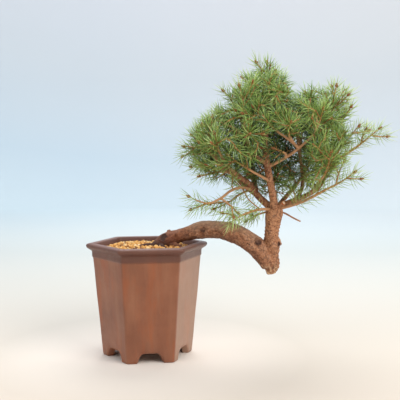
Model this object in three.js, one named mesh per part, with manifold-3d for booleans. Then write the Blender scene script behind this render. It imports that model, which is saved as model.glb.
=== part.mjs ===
// A white spruce grown as a half-cascade bonsai, in a six-sided stoneware pot.
// Millimetres, +Z up. Everything is laid out from the middle of the pot's foot, with the tree leaning
// towards +X, and the whole group is then moved so that its origin is under the middle of its box.

import * as THREE from 'three';
import { mergeVertices } from 'three/addons/utils/BufferGeometryUtils.js';
import Module from 'manifold-3d';

const wasm = await Module();
wasm.setup();

// The pot, a regular hexagon. Its sizes are radii to the corners.
const POT_HEIGHT = 119.5;
const RIM_RADIUS = 65;
const SHOULDER_RADIUS = 57.6;
const BAND_BOTTOM = 105;
const BAND_TOP = 110.8;
const LIP_MIDDLE = 116.8;
const FOOT_RADIUS = 48;
const POT_TURN = -22;
const WALL = 6;
const FLOOR_TOP = 17;
const FOOT_HEIGHT = 10;
const FOOT_DEPTH = 8;
const ARCH_WIDTH = 29;
const ARCH_TOP_WIDTH = 20;
const DRAIN_RADIUS = 10;

// The room left between two pieces that touch. After the pieces are joined, corners closer than one
// of FINEST are one corner, and corners move to one of the fine GRIDS. The pair is taken that leaves
// the piece closed and its corners furthest from facets not their own, or the first with ENOUGH_ROOM.
const GAP = 0.3;
const FINEST = [0.03, 0.05, 0.08];
const GRIDS = [0.01, 0.016, 0.007, 0.024, 0.03];
const ENOUGH_ROOM = 0.003;

// The soil and the plastic screen over the drain hole.
const SOIL_TOP = 116.5;
const SOIL_EDGE = 113;
const GRAIN = 1.1;
const SCREEN_SIDE = 34;
const SCREEN_THICKNESS = 1.6;
const SCREEN_HOLES = 4;
const SCREEN_BAR = 2.4;

// The crown: its middle, its depth front to back, and its outline seen from the front, as an angle
// from +X and a radius. Needle tips reach the outline, so shoots end a needle's reach inside it.
const CROWN_MIDDLE = new THREE.Vector3(128, 0, 227);
const CROWN_DEPTH = 84;
const CROWN_OUTLINE = [
  [0, 100], [20, 94], [45, 90], [62, 68], [90, 92], [115, 79], [140, 75], [160, 83],
  [185, 98], [205, 92], [225, 80], [250, 75], [285, 72], [320, 85], [345, 96], [360, 100],
];
const NEEDLE_REACH = 13;

// Needles, in whorls of three, and the three-sided twigs that they are raised from.
const NEEDLE_LENGTH = 15;
const NEEDLE_WIDTH = 1.2;
const WHORL_STEP = 6.5;
const FIRST_WHORL = 5;
const NEEDLE_LEAN = 50;
const TUFT_LEAN = 26;
const TWIG_RADIUS = 0.95;
const TIP_RADIUS = 0.6;
const SHOOT_STEP = 12;
const SHOOT_LEAN = THREE.MathUtils.degToRad(50);
const SHOOT_SPACING = 4;
const BRANCH_SPACING = 5;
const NEEDLE_SPACING = 0.5;

// Sprays whose needles met edge to edge in their first draws, and how many draws they pass over.
const DRAWN_BEFORE = { front_right: 2, spray_33: 3, spray_43: 1 };
const GOLDEN_ANGLE = Math.PI * (3 - Math.sqrt(5));

// The trunk as points in the plane of the photograph, each with its radius: out of the soil, along
// over the rim, and down to the old break that the living stem rises from.
const TRUNK = [
  [5, 90, 4.5], [7, 102, 6.5], [11, 113, 8], [20, 121.5, 7.6], [31, 125.5, 7], [44, 129, 8], [57, 132, 9],
  [70, 132.5, 9.6], [83, 131.5, 9.9], [95, 128, 10.2], [106, 121.5, 10.4], [116, 113.5, 10.4],
  [124, 104, 10], [130, 94.5, 8.5],
];
const STEM = [
  [132.5, 85.5, 4.5], [132, 89, 8.2], [132, 96, 9], [132, 104, 8], [132.5, 112, 8.6], [132.5, 120, 8.4],
  [132, 128, 7.4], [132.5, 136, 7.5], [133.5, 144, 8.2], [134.5, 151, 9.6], [134.5, 157, 9.2],
  [134, 161, 5.5],
];

const BARK_SWELL = 0.045;

// Roots that spread from the trunk's foot over the soil and into it.
const ROOTS = [
  { route: [[12, 0, 114], [1, -5, 116], [-9, -9, 114], [-16, -12, 107]], radius: 4 },
  { route: [[12, 0, 112], [4, 7, 115], [-5, 15, 113], [-10, 21, 106]], radius: 3.6 },
  { route: [[14, 0, 114], [15, -10, 115.5], [21, -18, 113], [26, -25, 106]], radius: 3.8 },
  { route: [[18, 0, 115], [21, 10, 115.5], [29, 17, 113], [34, 23, 106]], radius: 3.6 },
  { route: [[18, 0, 116], [29, -5, 117], [37, -7, 114], [41, -8, 107]], radius: 3.2 },
];

// Small wood that stands out of the trunk: knots, a swelling and a pale cut stub.
const KNOTS = [
  { route: [[59, -4, 130], [59, -7, 132.5], [59, -9.8, 134.5]], radius: 3.4 },
  { route: [[133, 0, 117], [138, -1, 118.5], [142, -1, 119.5]], radius: 5.2 },
  { route: [[117, -4, 118], [117, -8, 120.5], [117, -10.6, 121.5]], radius: 4.6 },
  { route: [[137, -6, 157], [140.5, -10, 160], [143, -13, 162]], radius: 2.7 },
  { route: [[24, 2, 124], [23, 3, 129], [22.5, 3.5, 132]], radius: 3 },
  { route: [[31, -3, 123], [31, -6, 127], [31, -8, 130]], radius: 2.6 },
];

// Limbs as routes outwards, each with its radius at the base and the length that stays bare. What
// follows the bare length is leafy. A limb that grows on another one starts on that one's axis.
const LIMBS = [
  {
    name: 'leader', radius: 4.3, bare: 116,
    route: [[134, -6, 157], [132, -10, 170], [128, -14, 188], [125, -16, 204], [124, -10, 224],
      [126, 0, 250], [128, 4, 271], [127, 4, 290], [126, 0, 308]],
  },
  {
    name: 'left_limb', radius: 4, bare: 84,
    route: [[131, 0, 156], [117, 0, 169], [108, -4, 181], [97, -9, 189], [84, -10, 197],
      [71, -10, 210], [59, -8, 218], [39, -4, 221]],
  },
  {
    name: 'left_riser', on: 'left_limb', radius: 3, bare: 88,
    route: [[115, 0, 171], [114, 10, 185], [112, 20, 203], [109, 27, 222], [103, 29, 242],
      [97, 27, 262], [94, 22, 281]],
  },
  {
    name: 'right_limb', radius: 3, bare: 112,
    route: [[136, 0, 155], [149, 2, 161], [160, 4, 165], [174, 7, 171], [184, 8, 179], [190, 7, 191],
      [196, 2, 211], [195, -4, 229], [193, -8, 250], [194, -10, 268], [197, -10, 284]],
  },
  {
    name: 'right_far', on: 'right_limb', radius: 2.2, bare: 38,
    route: [[185, 8, 182], [194, 10, 197], [207, 10, 209], [225, 8, 222], [240, 4, 235], [246, 3, 240]],
  },
  {
    name: 'right_low', radius: 2, bare: 38,
    route: [[138, -3, 155], [157, -10, 161], [170, -14, 167], [185, -19, 176], [202, -20, 185],
      [216, -18, 195]],
  },
  {
    name: 'left_arch', on: 'left_limb', radius: 1.8, bare: 52,
    route: [[112, -2, 174], [99, -10, 178], [88, -16, 175], [78, -22, 168], [66, -27, 163],
      [55, -28, 165], [44, -26, 170]],
  },
  {
    name: 'arch_side', on: 'left_arch', radius: 1.2, bare: 9,
    route: [[77, -22, 168], [84, -28, 163], [90, -32, 158], [95, -34, 153]],
  },
  {
    name: 'under_left', on: 'left_limb', radius: 1.4, bare: 24,
    route: [[110, 0, 176], [99, 8, 170], [89, 14, 162], [80, 16, 157], [70, 16, 153]],
  },
  {
    name: 'left_droop', radius: 1.7, bare: 15,
    route: [[131, -4, 155], [117, -12, 155], [105, -18, 152], [95, -24, 148], [86, -28, 142]],
  },
  {
    name: 'centre_left', on: 'leader', radius: 2.1, bare: 50,
    route: [[126, -15, 202], [113, -21, 212], [105, -28, 224], [101, -35, 240], [100, -38, 260],
      [95, -35, 282]],
  },
  {
    name: 'tan_twig', on: 'leader', radius: 1.5, bare: 28,
    route: [[129, -12, 184], [119, -22, 190], [108, -29, 196], [95, -36, 204], [84, -42, 212]],
  },
  {
    name: 'front_twig', on: 'leader', radius: 1.9, bare: Infinity,
    route: [[126, -16, 200], [136, -20, 205], [147, -26, 212], [158, -32, 221], [167, -36, 230],
      [174, -38, 241]],
  },
  {
    name: 'front_branch', on: 'front_twig', radius: 1.5, bare: 28,
    route: [[156, -31, 219], [146, -37, 227], [132, -43, 236], [118, -47, 247], [108, -48, 260]],
  },
  {
    name: 'low_twig', radius: 1, bare: Infinity,
    route: [[138, 0, 152], [146, 2, 150], [155, 2, 145], [163, 4, 141]],
  },
  {
    name: 'back_twig', radius: 1.2, bare: 11,
    route: [[130, 4, 152], [120, 13, 148], [112, 19, 143], [106, 22, 139]],
  },
  {
    name: 'right_riser', on: 'right_limb', radius: 2.2, bare: 72,
    route: [[160, 4, 165], [166, 12, 180], [165, 16, 200], [162, 15, 224], [162, 12, 246], [164, 8, 268]],
  },
  {
    name: 'back_left', on: 'left_limb', radius: 2.8, bare: 52,
    route: [[117, 0, 168], [104, 18, 178], [92, 34, 190], [80, 48, 205], [70, 57, 222]],
  },
  {
    name: 'back_middle', radius: 3, bare: 56,
    route: [[134, 3, 156], [133, 18, 172], [130, 36, 190], [129, 51, 210], [127, 60, 232]],
  },
  {
    name: 'back_right', radius: 2.8, bare: 58,
    route: [[137, 2, 155], [150, 16, 168], [163, 32, 180], [176, 47, 196], [186, 57, 216]],
  },
  {
    name: 'back_top', on: 'leader', radius: 2, bare: 28,
    route: [[125, -3, 240], [129, 14, 250], [134, 30, 262], [138, 40, 278]],
  },
  {
    name: 'front_right', on: 'right_limb', radius: 1.8, bare: 36,
    route: [[172, 7, 170], [178, -10, 181], [184, -30, 196], [186, -45, 216]],
  },
  {
    name: 'front_left', on: 'left_limb', radius: 1.8, bare: 36,
    route: [[95, -9, 190], [86, -22, 200], [76, -38, 214], [70, -48, 234]],
  },
  {
    name: 'front_top', on: 'leader', radius: 1.8, bare: 26,
    route: [[126, 0, 250], [128, -14, 260], [132, -29, 268], [134, -38, 280]],
  },
];

// Tips of the side branches that show against the background.
const SHOWN_TIPS = [
  [108, 6, 292], [79, 26, 259], [65, 4, 250], [59, -22, 243], [47, 12, 233], [46, 12, 199],
  [55, -22, 190], [167, -8, 264], [209, 2, 260], [220, -14, 242], [198, -32, 210], [141, 6, 289],
];
const FILL_DIRECTIONS = 62;
const FILL_SPACING = 31;
const MOST_SPRAYS = 55;

const material = (color, roughness) => new THREE.MeshStandardMaterial({ color, roughness, metalness: 0 });
const stoneware = material(0x8c5a46, 0.55);
const akadama = material(0xb98a4e, 0.95);
const blackPlastic = material(0x1c1d1c, 0.6);
const bark = material(0x8a6149, 0.9);
const green = material(0x55763a, 0.6);

const tree = new THREE.Group();

// A closed surface's corners and faces, with the corners that coincide merged.
function welded(geometry) {
  geometry.deleteAttribute('normal');
  geometry.deleteAttribute('uv');
  const merged = mergeVertices(geometry);
  const corners = merged.getIndex().array;
  const faces = [];
  for (let i = 0; i < corners.length; i += 3) {
    const [a, b, c] = corners.slice(i, i + 3);
    if (a !== b && b !== c && c !== a) {
      faces.push([a, b, c]);
    }
  }
  return { places: new Float32Array(merged.getAttribute('position').array), faces };
}

function toManifold({ places, faces }) {
  const triVerts = new Uint32Array(faces.flat());
  return new wasm.Manifold(new wasm.Mesh({ numProp: 3, vertProperties: places, triVerts }));
}

const solid = (geometry) => toManifold(welded(geometry));

function geometryOf(shape) {
  const { vertProperties, triVerts } = shape.getMesh();
  const geometry = new THREE.BufferGeometry();
  geometry.setAttribute('position', new THREE.BufferAttribute(vertProperties, 3));
  geometry.setIndex(new THREE.BufferAttribute(triVerts, 1));
  return geometry;
}

// Two faces that lie back to back enclose nothing, so both are dropped.
function withoutFolds(faces) {
  const named = new Map();
  for (const face of faces) {
    const name = [...face].sort((a, b) => a - b).join();
    named.set(name, [...(named.get(name) ?? []), face]);
  }
  return [...named.values()].filter((alike) => alike.length === 1).map(([face]) => face);
}

// Round every corner the faces make one closed fan, so that the surface is closed and never
// pinches to a point or an edge.
function everyCornerHasOneFan(faces) {
  const fans = new Map();
  for (const [a, b, c] of faces) {
    for (const [corner, from, to] of [[a, b, c], [b, c, a], [c, a, b]]) {
      const fan = fans.get(corner) ?? { next: new Map(), faces: 0 };
      fan.next.set(from, to);
      fan.faces += 1;
      fans.set(corner, fan);
    }
  }
  return [...fans.values()].every(({ next, faces: count }) => {
    const [start] = next.keys();
    let [at, turned] = [next.get(start), 1];
    while (at !== start && turned < count) {
      [at, turned] = [next.get(at), turned + 1];
    }
    return at === start && turned === count;
  });
}

// The least distance from a corner to a face that it isn't a corner of, up to ENOUGH_ROOM.
function leastRoom(places, faces) {
  const triangle = new THREE.Triangle();
  const nearby = new THREE.Box3();
  const nearest = new THREE.Vector3();
  const corners = [];
  for (let i = 0; i < places.length; i += 3) {
    corners.push(new THREE.Vector3().fromArray(places, i));
  }
  let room = ENOUGH_ROOM;
  for (const [a, b, c] of faces) {
    triangle.set(corners[a], corners[b], corners[c]);
    nearby.makeEmpty().expandByPoint(corners[a]).expandByPoint(corners[b]).expandByPoint(corners[c]);
    nearby.expandByScalar(room);
    corners.forEach((corner, i) => {
      if (i !== a && i !== b && i !== c && nearby.containsPoint(corner)) {
        room = Math.min(room, triangle.closestPointToPoint(corner, nearest).distanceTo(corner));
      }
    });
  }
  return room;
}

// Joins pieces that grow together into one body. A hollow that the join seals is filled, and a
// loose scrap is dropped. Every corner then moves onto a fine grid, so that no two of them nearly
// meet. Null where no grid leaves a surface that closes.
function grown(pieces) {
  const joined = wasm.Manifold.union(pieces).asOriginal();
  let best = { room: 0 };
  for (const finest of FINEST) {
    const plain = joined.simplify(finest);
    for (const grid of GRIDS) {
      const geometry = geometryOf(plain);
      const corners = geometry.getAttribute('position').array;
      corners.forEach((value, i) => { corners[i] = Math.round(value / grid) * grid; });
      const { places, faces } = welded(geometry);
      const kept = withoutFolds(faces);
      if (best.room < ENOUGH_ROOM && everyCornerHasOneFan(kept)) {
        const room = leastRoom(places, kept);
        best = room > best.room ? { room, places, faces: kept } : best;
      }
    }
  }
  if (!best.faces) {
    return null;
  }
  const bodies = toManifold(best).decompose();
  return bodies.reduce((largest, body) => (body.volume() > largest.volume() ? body : largest));
}

function addPiece(name, shape, finish) {
  const geometry = geometryOf(shape);
  geometry.computeVertexNormals();
  const piece = new THREE.Mesh(geometry, finish);
  piece.name = name;
  tree.add(piece);
}

// A seeded draw from 0 to 1, the same on every run.
function seeded(seed) {
  let state = seed;
  return () => {
    state = (state * 16807) % 2147483647;
    return state / 2147483647;
  };
}

// The pot

const turn = THREE.MathUtils.degToRad(POT_TURN);

// Turns a profile of [radius, height] pairs about the vertical, with flats instead of a round.
function turned(profile, sides, start) {
  const points = profile.map(([radius, height]) => new THREE.Vector2(radius, height));
  return new THREE.LatheGeometry(points, sides, start).rotateX(Math.PI / 2);
}

function potBody() {
  const innerFoot = FOOT_RADIUS + 1 - WALL;
  const innerTop = RIM_RADIUS - 9.5;
  return solid(turned([
    [0, 0], [FOOT_RADIUS, 0], [SHOULDER_RADIUS, BAND_BOTTOM - 1], [SHOULDER_RADIUS + 1, BAND_BOTTOM],
    [SHOULDER_RADIUS + 1.1, BAND_TOP], [SHOULDER_RADIUS + 2.4, BAND_TOP + 1.3],
    [RIM_RADIUS - 2.4, LIP_MIDDLE - 3], [RIM_RADIUS - 0.8, LIP_MIDDLE - 2], [RIM_RADIUS, LIP_MIDDLE],
    [RIM_RADIUS - 0.6, LIP_MIDDLE + 1.5], [RIM_RADIUS - 2.2, POT_HEIGHT - 0.3],
    [innerTop + 1.2, POT_HEIGHT], [innerTop, POT_HEIGHT - 0.8], [innerTop - 3.6, BAND_BOTTOM + 2],
    [innerFoot, FLOOR_TOP], [0, FLOOR_TOP],
  ], 6, turn));
}

// The opening between two feet, an arch that runs right under the pot.
function footArch(side) {
  const half = ARCH_WIDTH / 2;
  const halfTop = ARCH_TOP_WIDTH / 2;
  const outline = new THREE.Shape();
  outline.moveTo(-half - 1, -1);
  outline.lineTo(half + 1, -1);
  outline.lineTo(half, 1);
  outline.quadraticCurveTo(halfTop + 1, FOOT_HEIGHT - 0.5, halfTop - 3, FOOT_HEIGHT);
  outline.lineTo(3 - halfTop, FOOT_HEIGHT);
  outline.quadraticCurveTo(-halfTop - 1, FOOT_HEIGHT - 0.5, -half, 1);
  const length = 2.4 * FOOT_RADIUS;
  const settings = { depth: length, steps: 1, curveSegments: 3, bevelEnabled: false };
  const arch = new THREE.ExtrudeGeometry(outline, settings);
  arch.translate(0, 0, -length / 2).rotateX(Math.PI / 2);
  return solid(arch.rotateZ(turn + THREE.MathUtils.degToRad(30 + 60 * side)));
}

function pot() {
  const recessRadius = FOOT_RADIUS - FOOT_DEPTH;
  const recess = [[0, -1], [recessRadius, -1], [recessRadius + 0.9, FOOT_HEIGHT + 1], [0, FOOT_HEIGHT + 1]];
  const drain = new THREE.CylinderGeometry(DRAIN_RADIUS, DRAIN_RADIUS, 3 * FLOOR_TOP, 20);
  drain.rotateX(Math.PI / 2);
  let body = potBody().subtract(solid(turned(recess, 6, turn))).subtract(solid(drain));
  for (let side = 0; side < 3; side += 1) {
    body = body.subtract(footArch(side));
  }
  return body;
}

// Stems

const vector = ([x, y, z]) => new THREE.Vector3(x, y, z);

// A route that a stem follows, with its length.
function route(points) {
  const curve = new THREE.CatmullRomCurve3(points.map(vector), false, 'catmullrom', 0.5);
  curve.arcLengthDivisions = 240;
  return { curve, length: curve.getLength() };
}

// Evenly spaced distances from start to end.
function evenly(start, end, steps) {
  return Array.from({ length: steps + 1 }, (_, step) => start + ((end - start) * step) / steps);
}

// Stations at given distances along a route, each with two directions across it that never twist.
function stationsAlong({ curve, length }, distances) {
  let across = new THREE.Vector3(0.3, 1, 0.2);
  return distances.map((distance) => {
    const fraction = Math.min(1, distance / length);
    const along = curve.getTangentAt(fraction);
    across = across.clone().addScaledVector(along, -across.dot(along)).normalize();
    const beside = along.clone().cross(across);
    return { place: curve.getPointAt(fraction), distance, along, across, beside };
  });
}

// The skin of a stem with flat ends, through rings at given distances along a route. radiusAt gives
// its radius at a distance and an angle round it, and twistAt turns each ring.
function stemSkin(path, distances, sides, radiusAt, twistAt = () => 0) {
  const section = new THREE.Shape();
  for (let corner = 0; corner < sides; corner += 1) {
    const angle = (2 * Math.PI * corner) / sides;
    section[corner ? 'lineTo' : 'moveTo'](Math.cos(angle), Math.sin(angle));
  }
  const steps = distances.length - 1;
  const geometry = new THREE.ExtrudeGeometry(section, { depth: 1, steps, bevelEnabled: false });
  const stations = stationsAlong(path, distances);
  const corners = geometry.getAttribute('position');
  for (let i = 0; i < corners.count; i += 1) {
    const ring = Math.round(corners.getZ(i) * steps);
    const { place, distance, across, beside } = stations[ring];
    const angle = Math.atan2(corners.getY(i), corners.getX(i)) + twistAt(ring);
    const radius = radiusAt(distance, angle);
    const corner = place.clone().addScaledVector(across, radius * Math.cos(angle));
    corner.addScaledVector(beside, radius * Math.sin(angle));
    corners.setXYZ(i, corner.x, corner.y, corner.z);
  }
  return geometry;
}

function stem(path, start, end, steps, sides, radiusAt) {
  return solid(stemSkin(path, evenly(start, end, steps), sides, radiusAt));
}

// The trunk's radius follows the list that goes with its route, and its bark swells in low lobes.
function thickStem(list) {
  const path = route(list.map(([x, z]) => [x, 0, z]));
  const radiusAt = (distance, angle) => {
    const step = Math.min(0.9999, distance / path.length) * (list.length - 1);
    const before = Math.floor(step);
    const radius = THREE.MathUtils.lerp(list[before][2], list[before + 1][2], step - before);
    const lobes = Math.sin(3 * angle + 0.11 * distance) + 0.7 * Math.sin(2 * angle - 0.19 * distance);
    return radius * (1 + BARK_SWELL * lobes);
  };
  return { path, radiusAt };
}

const trunk = thickStem(TRUNK);
const livingStem = thickStem(STEM);

// A radius that thins from a stem's base to its tip.
function taper(path, base, tip) {
  return (distance) => tip + (base - tip) * Math.max(0, 1 - distance / path.length) ** 0.8;
}

// What is in the soil, with extra thickness and length for the hole that it stands in.
function buriedWood(extra) {
  const roots = ROOTS.map(({ route: points, radius }) => {
    const path = route(points);
    const end = path.length - 1 + 2 * extra;
    return stem(path, 0, end, 4, 5, (distance) => taper(path, radius, 1.3)(distance) + extra);
  });
  const start = 1 - 2 * extra;
  const grownRadius = (...at) => trunk.radiusAt(...at) + extra;
  const thick = stem(trunk.path, start, trunk.path.length, 18, 10, grownRadius);
  return grown([thick, ...roots]);
}

// The crown

// How far out a point is: 1 where a shoot may end, a needle's reach inside the crown's outline.
function crownShare(point) {
  const out = point.clone().sub(CROWN_MIDDLE);
  const angle = (THREE.MathUtils.radToDeg(Math.atan2(out.z, out.x)) + 360) % 360;
  const next = CROWN_OUTLINE.findIndex(([degrees]) => degrees > angle);
  const [low, high] = [CROWN_OUTLINE[next - 1], CROWN_OUTLINE[next]];
  const radius = THREE.MathUtils.mapLinear(angle, low[0], high[0], low[1], high[1]);
  const seenShare = Math.hypot(out.x, out.z) / (radius - NEEDLE_REACH);
  return Math.hypot(seenShare, out.y / (CROWN_DEPTH - NEEDLE_REACH));
}

// The front below the middle stays open, so that the limbs show there.
function inWindow({ x, y, z }) {
  return y < -10 && z < 208 && x > 90 && x < 170;
}

// Everything placed so far, as straight pieces with a radius and the node that they belong to.
const placed = [];

function distanceTo(piece, point) {
  const span = piece.to.clone().sub(piece.from);
  const share = THREE.MathUtils.clamp(point.clone().sub(piece.from).dot(span) / span.lengthSq(), 0, 1);
  return point.distanceTo(piece.from.clone().addScaledVector(span, share));
}

function isClear(from, to, radius, spacing, others) {
  const samples = Math.max(1, Math.ceil(from.distanceTo(to) / 2));
  for (let sample = 0; sample <= samples; sample += 1) {
    const point = from.clone().lerp(to, sample / samples);
    if (others.some((piece) => distanceTo(piece, point) < radius + piece.radius + spacing)) {
      return false;
    }
  }
  return true;
}

function place(path, start, end, radiusAt, owner) {
  const steps = Math.max(2, Math.ceil((end - start) / 7));
  const stations = stationsAlong(path, evenly(start, end, steps));
  for (let step = 0; step < steps; step += 1) {
    const radius = radiusAt(stations[step].distance);
    placed.push({ from: stations[step].place, to: stations[step + 1].place, radius, owner, path });
  }
}

// A branch: wood from its base to the end of its bare length, and a leafy twig from there on.
function branch(name, points, base, bareLength) {
  const path = route(points);
  const bare = Math.min(bareLength, path.length);
  const radiusAt = taper(path, base, bare < path.length ? TIP_RADIUS : 0.8);
  return { name, path, bare, radiusAt, shoots: [] };
}

function placeBranch(item) {
  place(item.path, 0, item.bare, item.radiusAt, 'wood');
  if (item.bare < item.path.length) {
    place(item.path, item.bare, item.path.length, item.radiusAt, item.name);
  }
}

// The point on another limb's axis that is nearest to a point.
function seatOn({ path }, point) {
  const seats = path.curve.getSpacedPoints(120).sort((a, b) => a.distanceTo(point) - b.distanceTo(point));
  return seats[0].toArray();
}

const limbs = [];
for (const { name, on, route: [first, ...others], radius, bare } of LIMBS) {
  const parent = limbs.find((limb) => limb.name === on);
  const start = parent ? seatOn(parent, vector(first)) : first;
  limbs.push(branch(name, [start, ...others], radius, bare));
}
place(trunk.path, 0, trunk.path.length, (distance) => trunk.radiusAt(distance, 0), 'wood');
place(livingStem.path, 0, livingStem.path.length, (distance) => livingStem.radiusAt(distance, 0), 'wood');
limbs.forEach(placeBranch);

// Whether a new side branch keeps clear of every leafy twig and, where it is leafy, of the wood.
function branchIsClear({ path, bare }) {
  const steps = Math.ceil(path.length / 4);
  const stations = stationsAlong(path, evenly(4, path.length, steps));
  return stations.every(({ place: point, distance }) => placed.every((piece) => {
    const leafy = distance - bare;
    const spacing = piece.owner === 'wood' ? Math.min(BRANCH_SPACING, 0.7 + 0.4 * leafy) : BRANCH_SPACING;
    const matters = piece.owner !== 'wood' || leafy > -1;
    return !matters || distanceTo(piece, point) > piece.radius + TWIG_RADIUS + spacing;
  }));
}

// Grows a side branch from the bare wood to a tip. It leaves the limb leaning along it and bends
// out. The nearest wood that it can grow forward from, clear of the rest, is taken.
function growTo(tip, name) {
  const bases = [];
  for (const limb of limbs) {
    for (let distance = 0.3 * limb.bare; distance < limb.bare - 3; distance += 6) {
      const fraction = distance / limb.path.length;
      const from = limb.path.curve.getPointAt(fraction);
      const along = limb.path.curve.getTangentAt(fraction);
      const out = tip.clone().sub(from);
      const forward = out.clone().normalize().dot(along);
      bases.push({ from, along, forward, span: out.length(), cost: out.length() * (1.5 - 0.5 * forward) });
    }
  }
  bases.sort((one, other) => one.cost - other.cost);
  for (const { from, along, span } of bases.filter((base) => base.forward > 0 && base.span > 22)) {
    const bow = along.clone().multiplyScalar(span).sub(tip.clone().sub(from));
    const near = from.clone().lerp(tip, 0.35).addScaledVector(bow, 0.16);
    const far = from.clone().lerp(tip, 0.72).addScaledVector(bow, 0.1);
    const points = [from, near, far, tip].map((point) => point.toArray());
    const item = branch(name, points, 1.1 + 0.012 * span, Math.max(9, 0.5 * span - 8));
    if (branchIsClear(item)) {
      return item;
    }
  }
  return null;
}

// Tips spread evenly over the crown, a spiral of directions, where no tip is near yet.
function fillTips() {
  const leafy = limbs.filter((limb) => limb.bare < limb.path.length);
  const tips = leafy.map((limb) => limb.path.curve.getPoint(1));
  tips.push(...SHOWN_TIPS.map(vector));
  const found = [];
  for (const share of [1, 0.62]) {
    for (let k = 0; k < FILL_DIRECTIONS; k += 1) {
      const rise = 1 - (2 * k + 1) / FILL_DIRECTIONS;
      const level = Math.sqrt(1 - rise * rise);
      const angle = k * GOLDEN_ANGLE;
      const out = new THREE.Vector3(level * Math.cos(angle), level * Math.sin(angle), rise);
      const reach = share / crownShare(CROWN_MIDDLE.clone().add(out));
      const tip = CROWN_MIDDLE.clone().addScaledVector(out, reach);
      if (tip.z > 166 && !inWindow(tip) && tips.every((other) => other.distanceTo(tip) > FILL_SPACING)) {
        tips.push(tip);
        found.push(tip);
      }
    }
  }
  return found;
}

const sprays = limbs.filter((limb) => limb.bare < limb.path.length);
for (const tip of [...SHOWN_TIPS.map(vector), ...fillTips()]) {
  const item = sprays.length < MOST_SPRAYS ? growTo(tip, `spray_${sprays.length + 1}`) : null;
  if (item) {
    sprays.push(item);
    placeBranch(item);
  }
}

// Where the whorls of needles stand along a twig: evenly from the first one to the tip.
function whorlsAlong(path, first) {
  const last = path.length - 0.8 - NEEDLE_WIDTH / 2;
  return evenly(first, last, Math.max(1, Math.round((last - first) / WHORL_STEP)));
}

// Short shoots along each leafy twig, from midway between its whorls, leaning forward, turned round
// it by the golden angle, and shorter towards its end. One that would leave the crown or come near
// another twig is shortened or turned on.
const chance = seeded(41);
for (const item of sprays) {
  const { path, bare, name } = item;
  const whorls = whorlsAlong(path, bare + FIRST_WHORL);
  const count = Math.max(1, Math.floor((path.length - bare - 8) / SHOOT_STEP));
  const others = placed.filter((piece) => piece.owner !== name);
  let angle = 2 * Math.PI * chance();
  for (let k = 0; k < count; k += 1) {
    const between = Math.min(whorls.length - 2, Math.floor(((k + 0.3) * (whorls.length - 1)) / count));
    const distance = (whorls[between] + whorls[between + 1]) / 2;
    const [station] = stationsAlong(path, [distance]);
    const full = Math.min(30, 10 + 0.5 * (path.length - distance)) * (0.85 + 0.3 * chance());
    for (let attempt = 0; attempt < 9; attempt += 1) {
      const length = full * (1 - 0.25 * (attempt % 3));
      const out = station.across.clone().multiplyScalar(Math.cos(angle));
      out.addScaledVector(station.beside, Math.sin(angle));
      const heading = station.along.clone().multiplyScalar(Math.cos(SHOOT_LEAN));
      heading.addScaledVector(out, Math.sin(SHOOT_LEAN));
      const middle = station.place.clone().addScaledVector(heading, 0.55 * length);
      const end = station.place.clone().addScaledVector(heading, length);
      end.addScaledVector(station.along, 0.12 * length);
      const within = crownShare(end) < 1 || end.distanceTo(path.curve.getPoint(1)) < 18;
      const edge = station.place.clone().addScaledVector(heading, 4);
      if (within && !inWindow(end) && isClear(edge, end, TWIG_RADIUS, SHOOT_SPACING, others)) {
        const shoot = route([station.place, middle, end].map((point) => point.toArray()));
        item.shoots.push(shoot);
        place(shoot, 0, shoot.length, () => 0.7, name);
        break;
      }
      angle += attempt % 3 === 2 ? 1.2 : 0;
    }
    angle += GOLDEN_ANGLE;
  }
}

// Needles are raised from the sides of a three-sided twig: two close rings carry a whorl of up to
// three, each side between them drawn out to a point, and each whorl is turned from the last. The
// last whorl leans forward as a tuft. A needle that would come near another spray is left out.
let draw = null;

function leafyTwig(path, start, first, base, root, owner) {
  const half = NEEDLE_WIDTH / 2;
  const pairs = whorlsAlong(path, first).flatMap((middle) => [middle - half, middle + half]);
  const rings = [start, ...pairs, path.length];
  const sides = 3;
  const startTurn = 2 * Math.PI * draw();
  const plain = stemSkin(path, rings, sides, (distance) => {
    const share = (distance - start) / (path.length - start);
    const thick = base + (TIP_RADIUS - base) * share;
    return distance === start ? root : distance === path.length ? 0.5 * thick : thick;
  }, (ring) => startTurn - (Math.PI / sides) * Math.floor((ring + 1) / 2));
  const corners = plain.getAttribute('position');
  const capCorners = 2 * 3 * (sides - 2);
  const steps = rings.length - 1;
  const skin = [...corners.array.slice(0, 3 * capCorners)];
  const corner = (i) => new THREE.Vector3().fromBufferAttribute(corners, i);
  const stations = stationsAlong(path, rings);
  for (let quad = 0; quad < sides * steps; quad += 1) {
    const first = capCorners + 6 * quad;
    const step = quad % steps;
    const edge = [corner(first), corner(first + 1), corner(first + 4), corner(first + 2)];
    const apex = step % 2 ? needleTip(edge, stations[step], step === steps - 2, path, owner) : null;
    if (apex) {
      edge.forEach((from, k) => {
        skin.push(...from.toArray(), ...edge[(k + 1) % 4].toArray(), ...apex.toArray());
      });
    } else {
      skin.push(...corners.array.slice(3 * first, 3 * (first + 6)));
    }
  }
  const geometry = new THREE.BufferGeometry();
  geometry.setAttribute('position', new THREE.Float32BufferAttribute(skin, 3));
  return solid(geometry);
}

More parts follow.
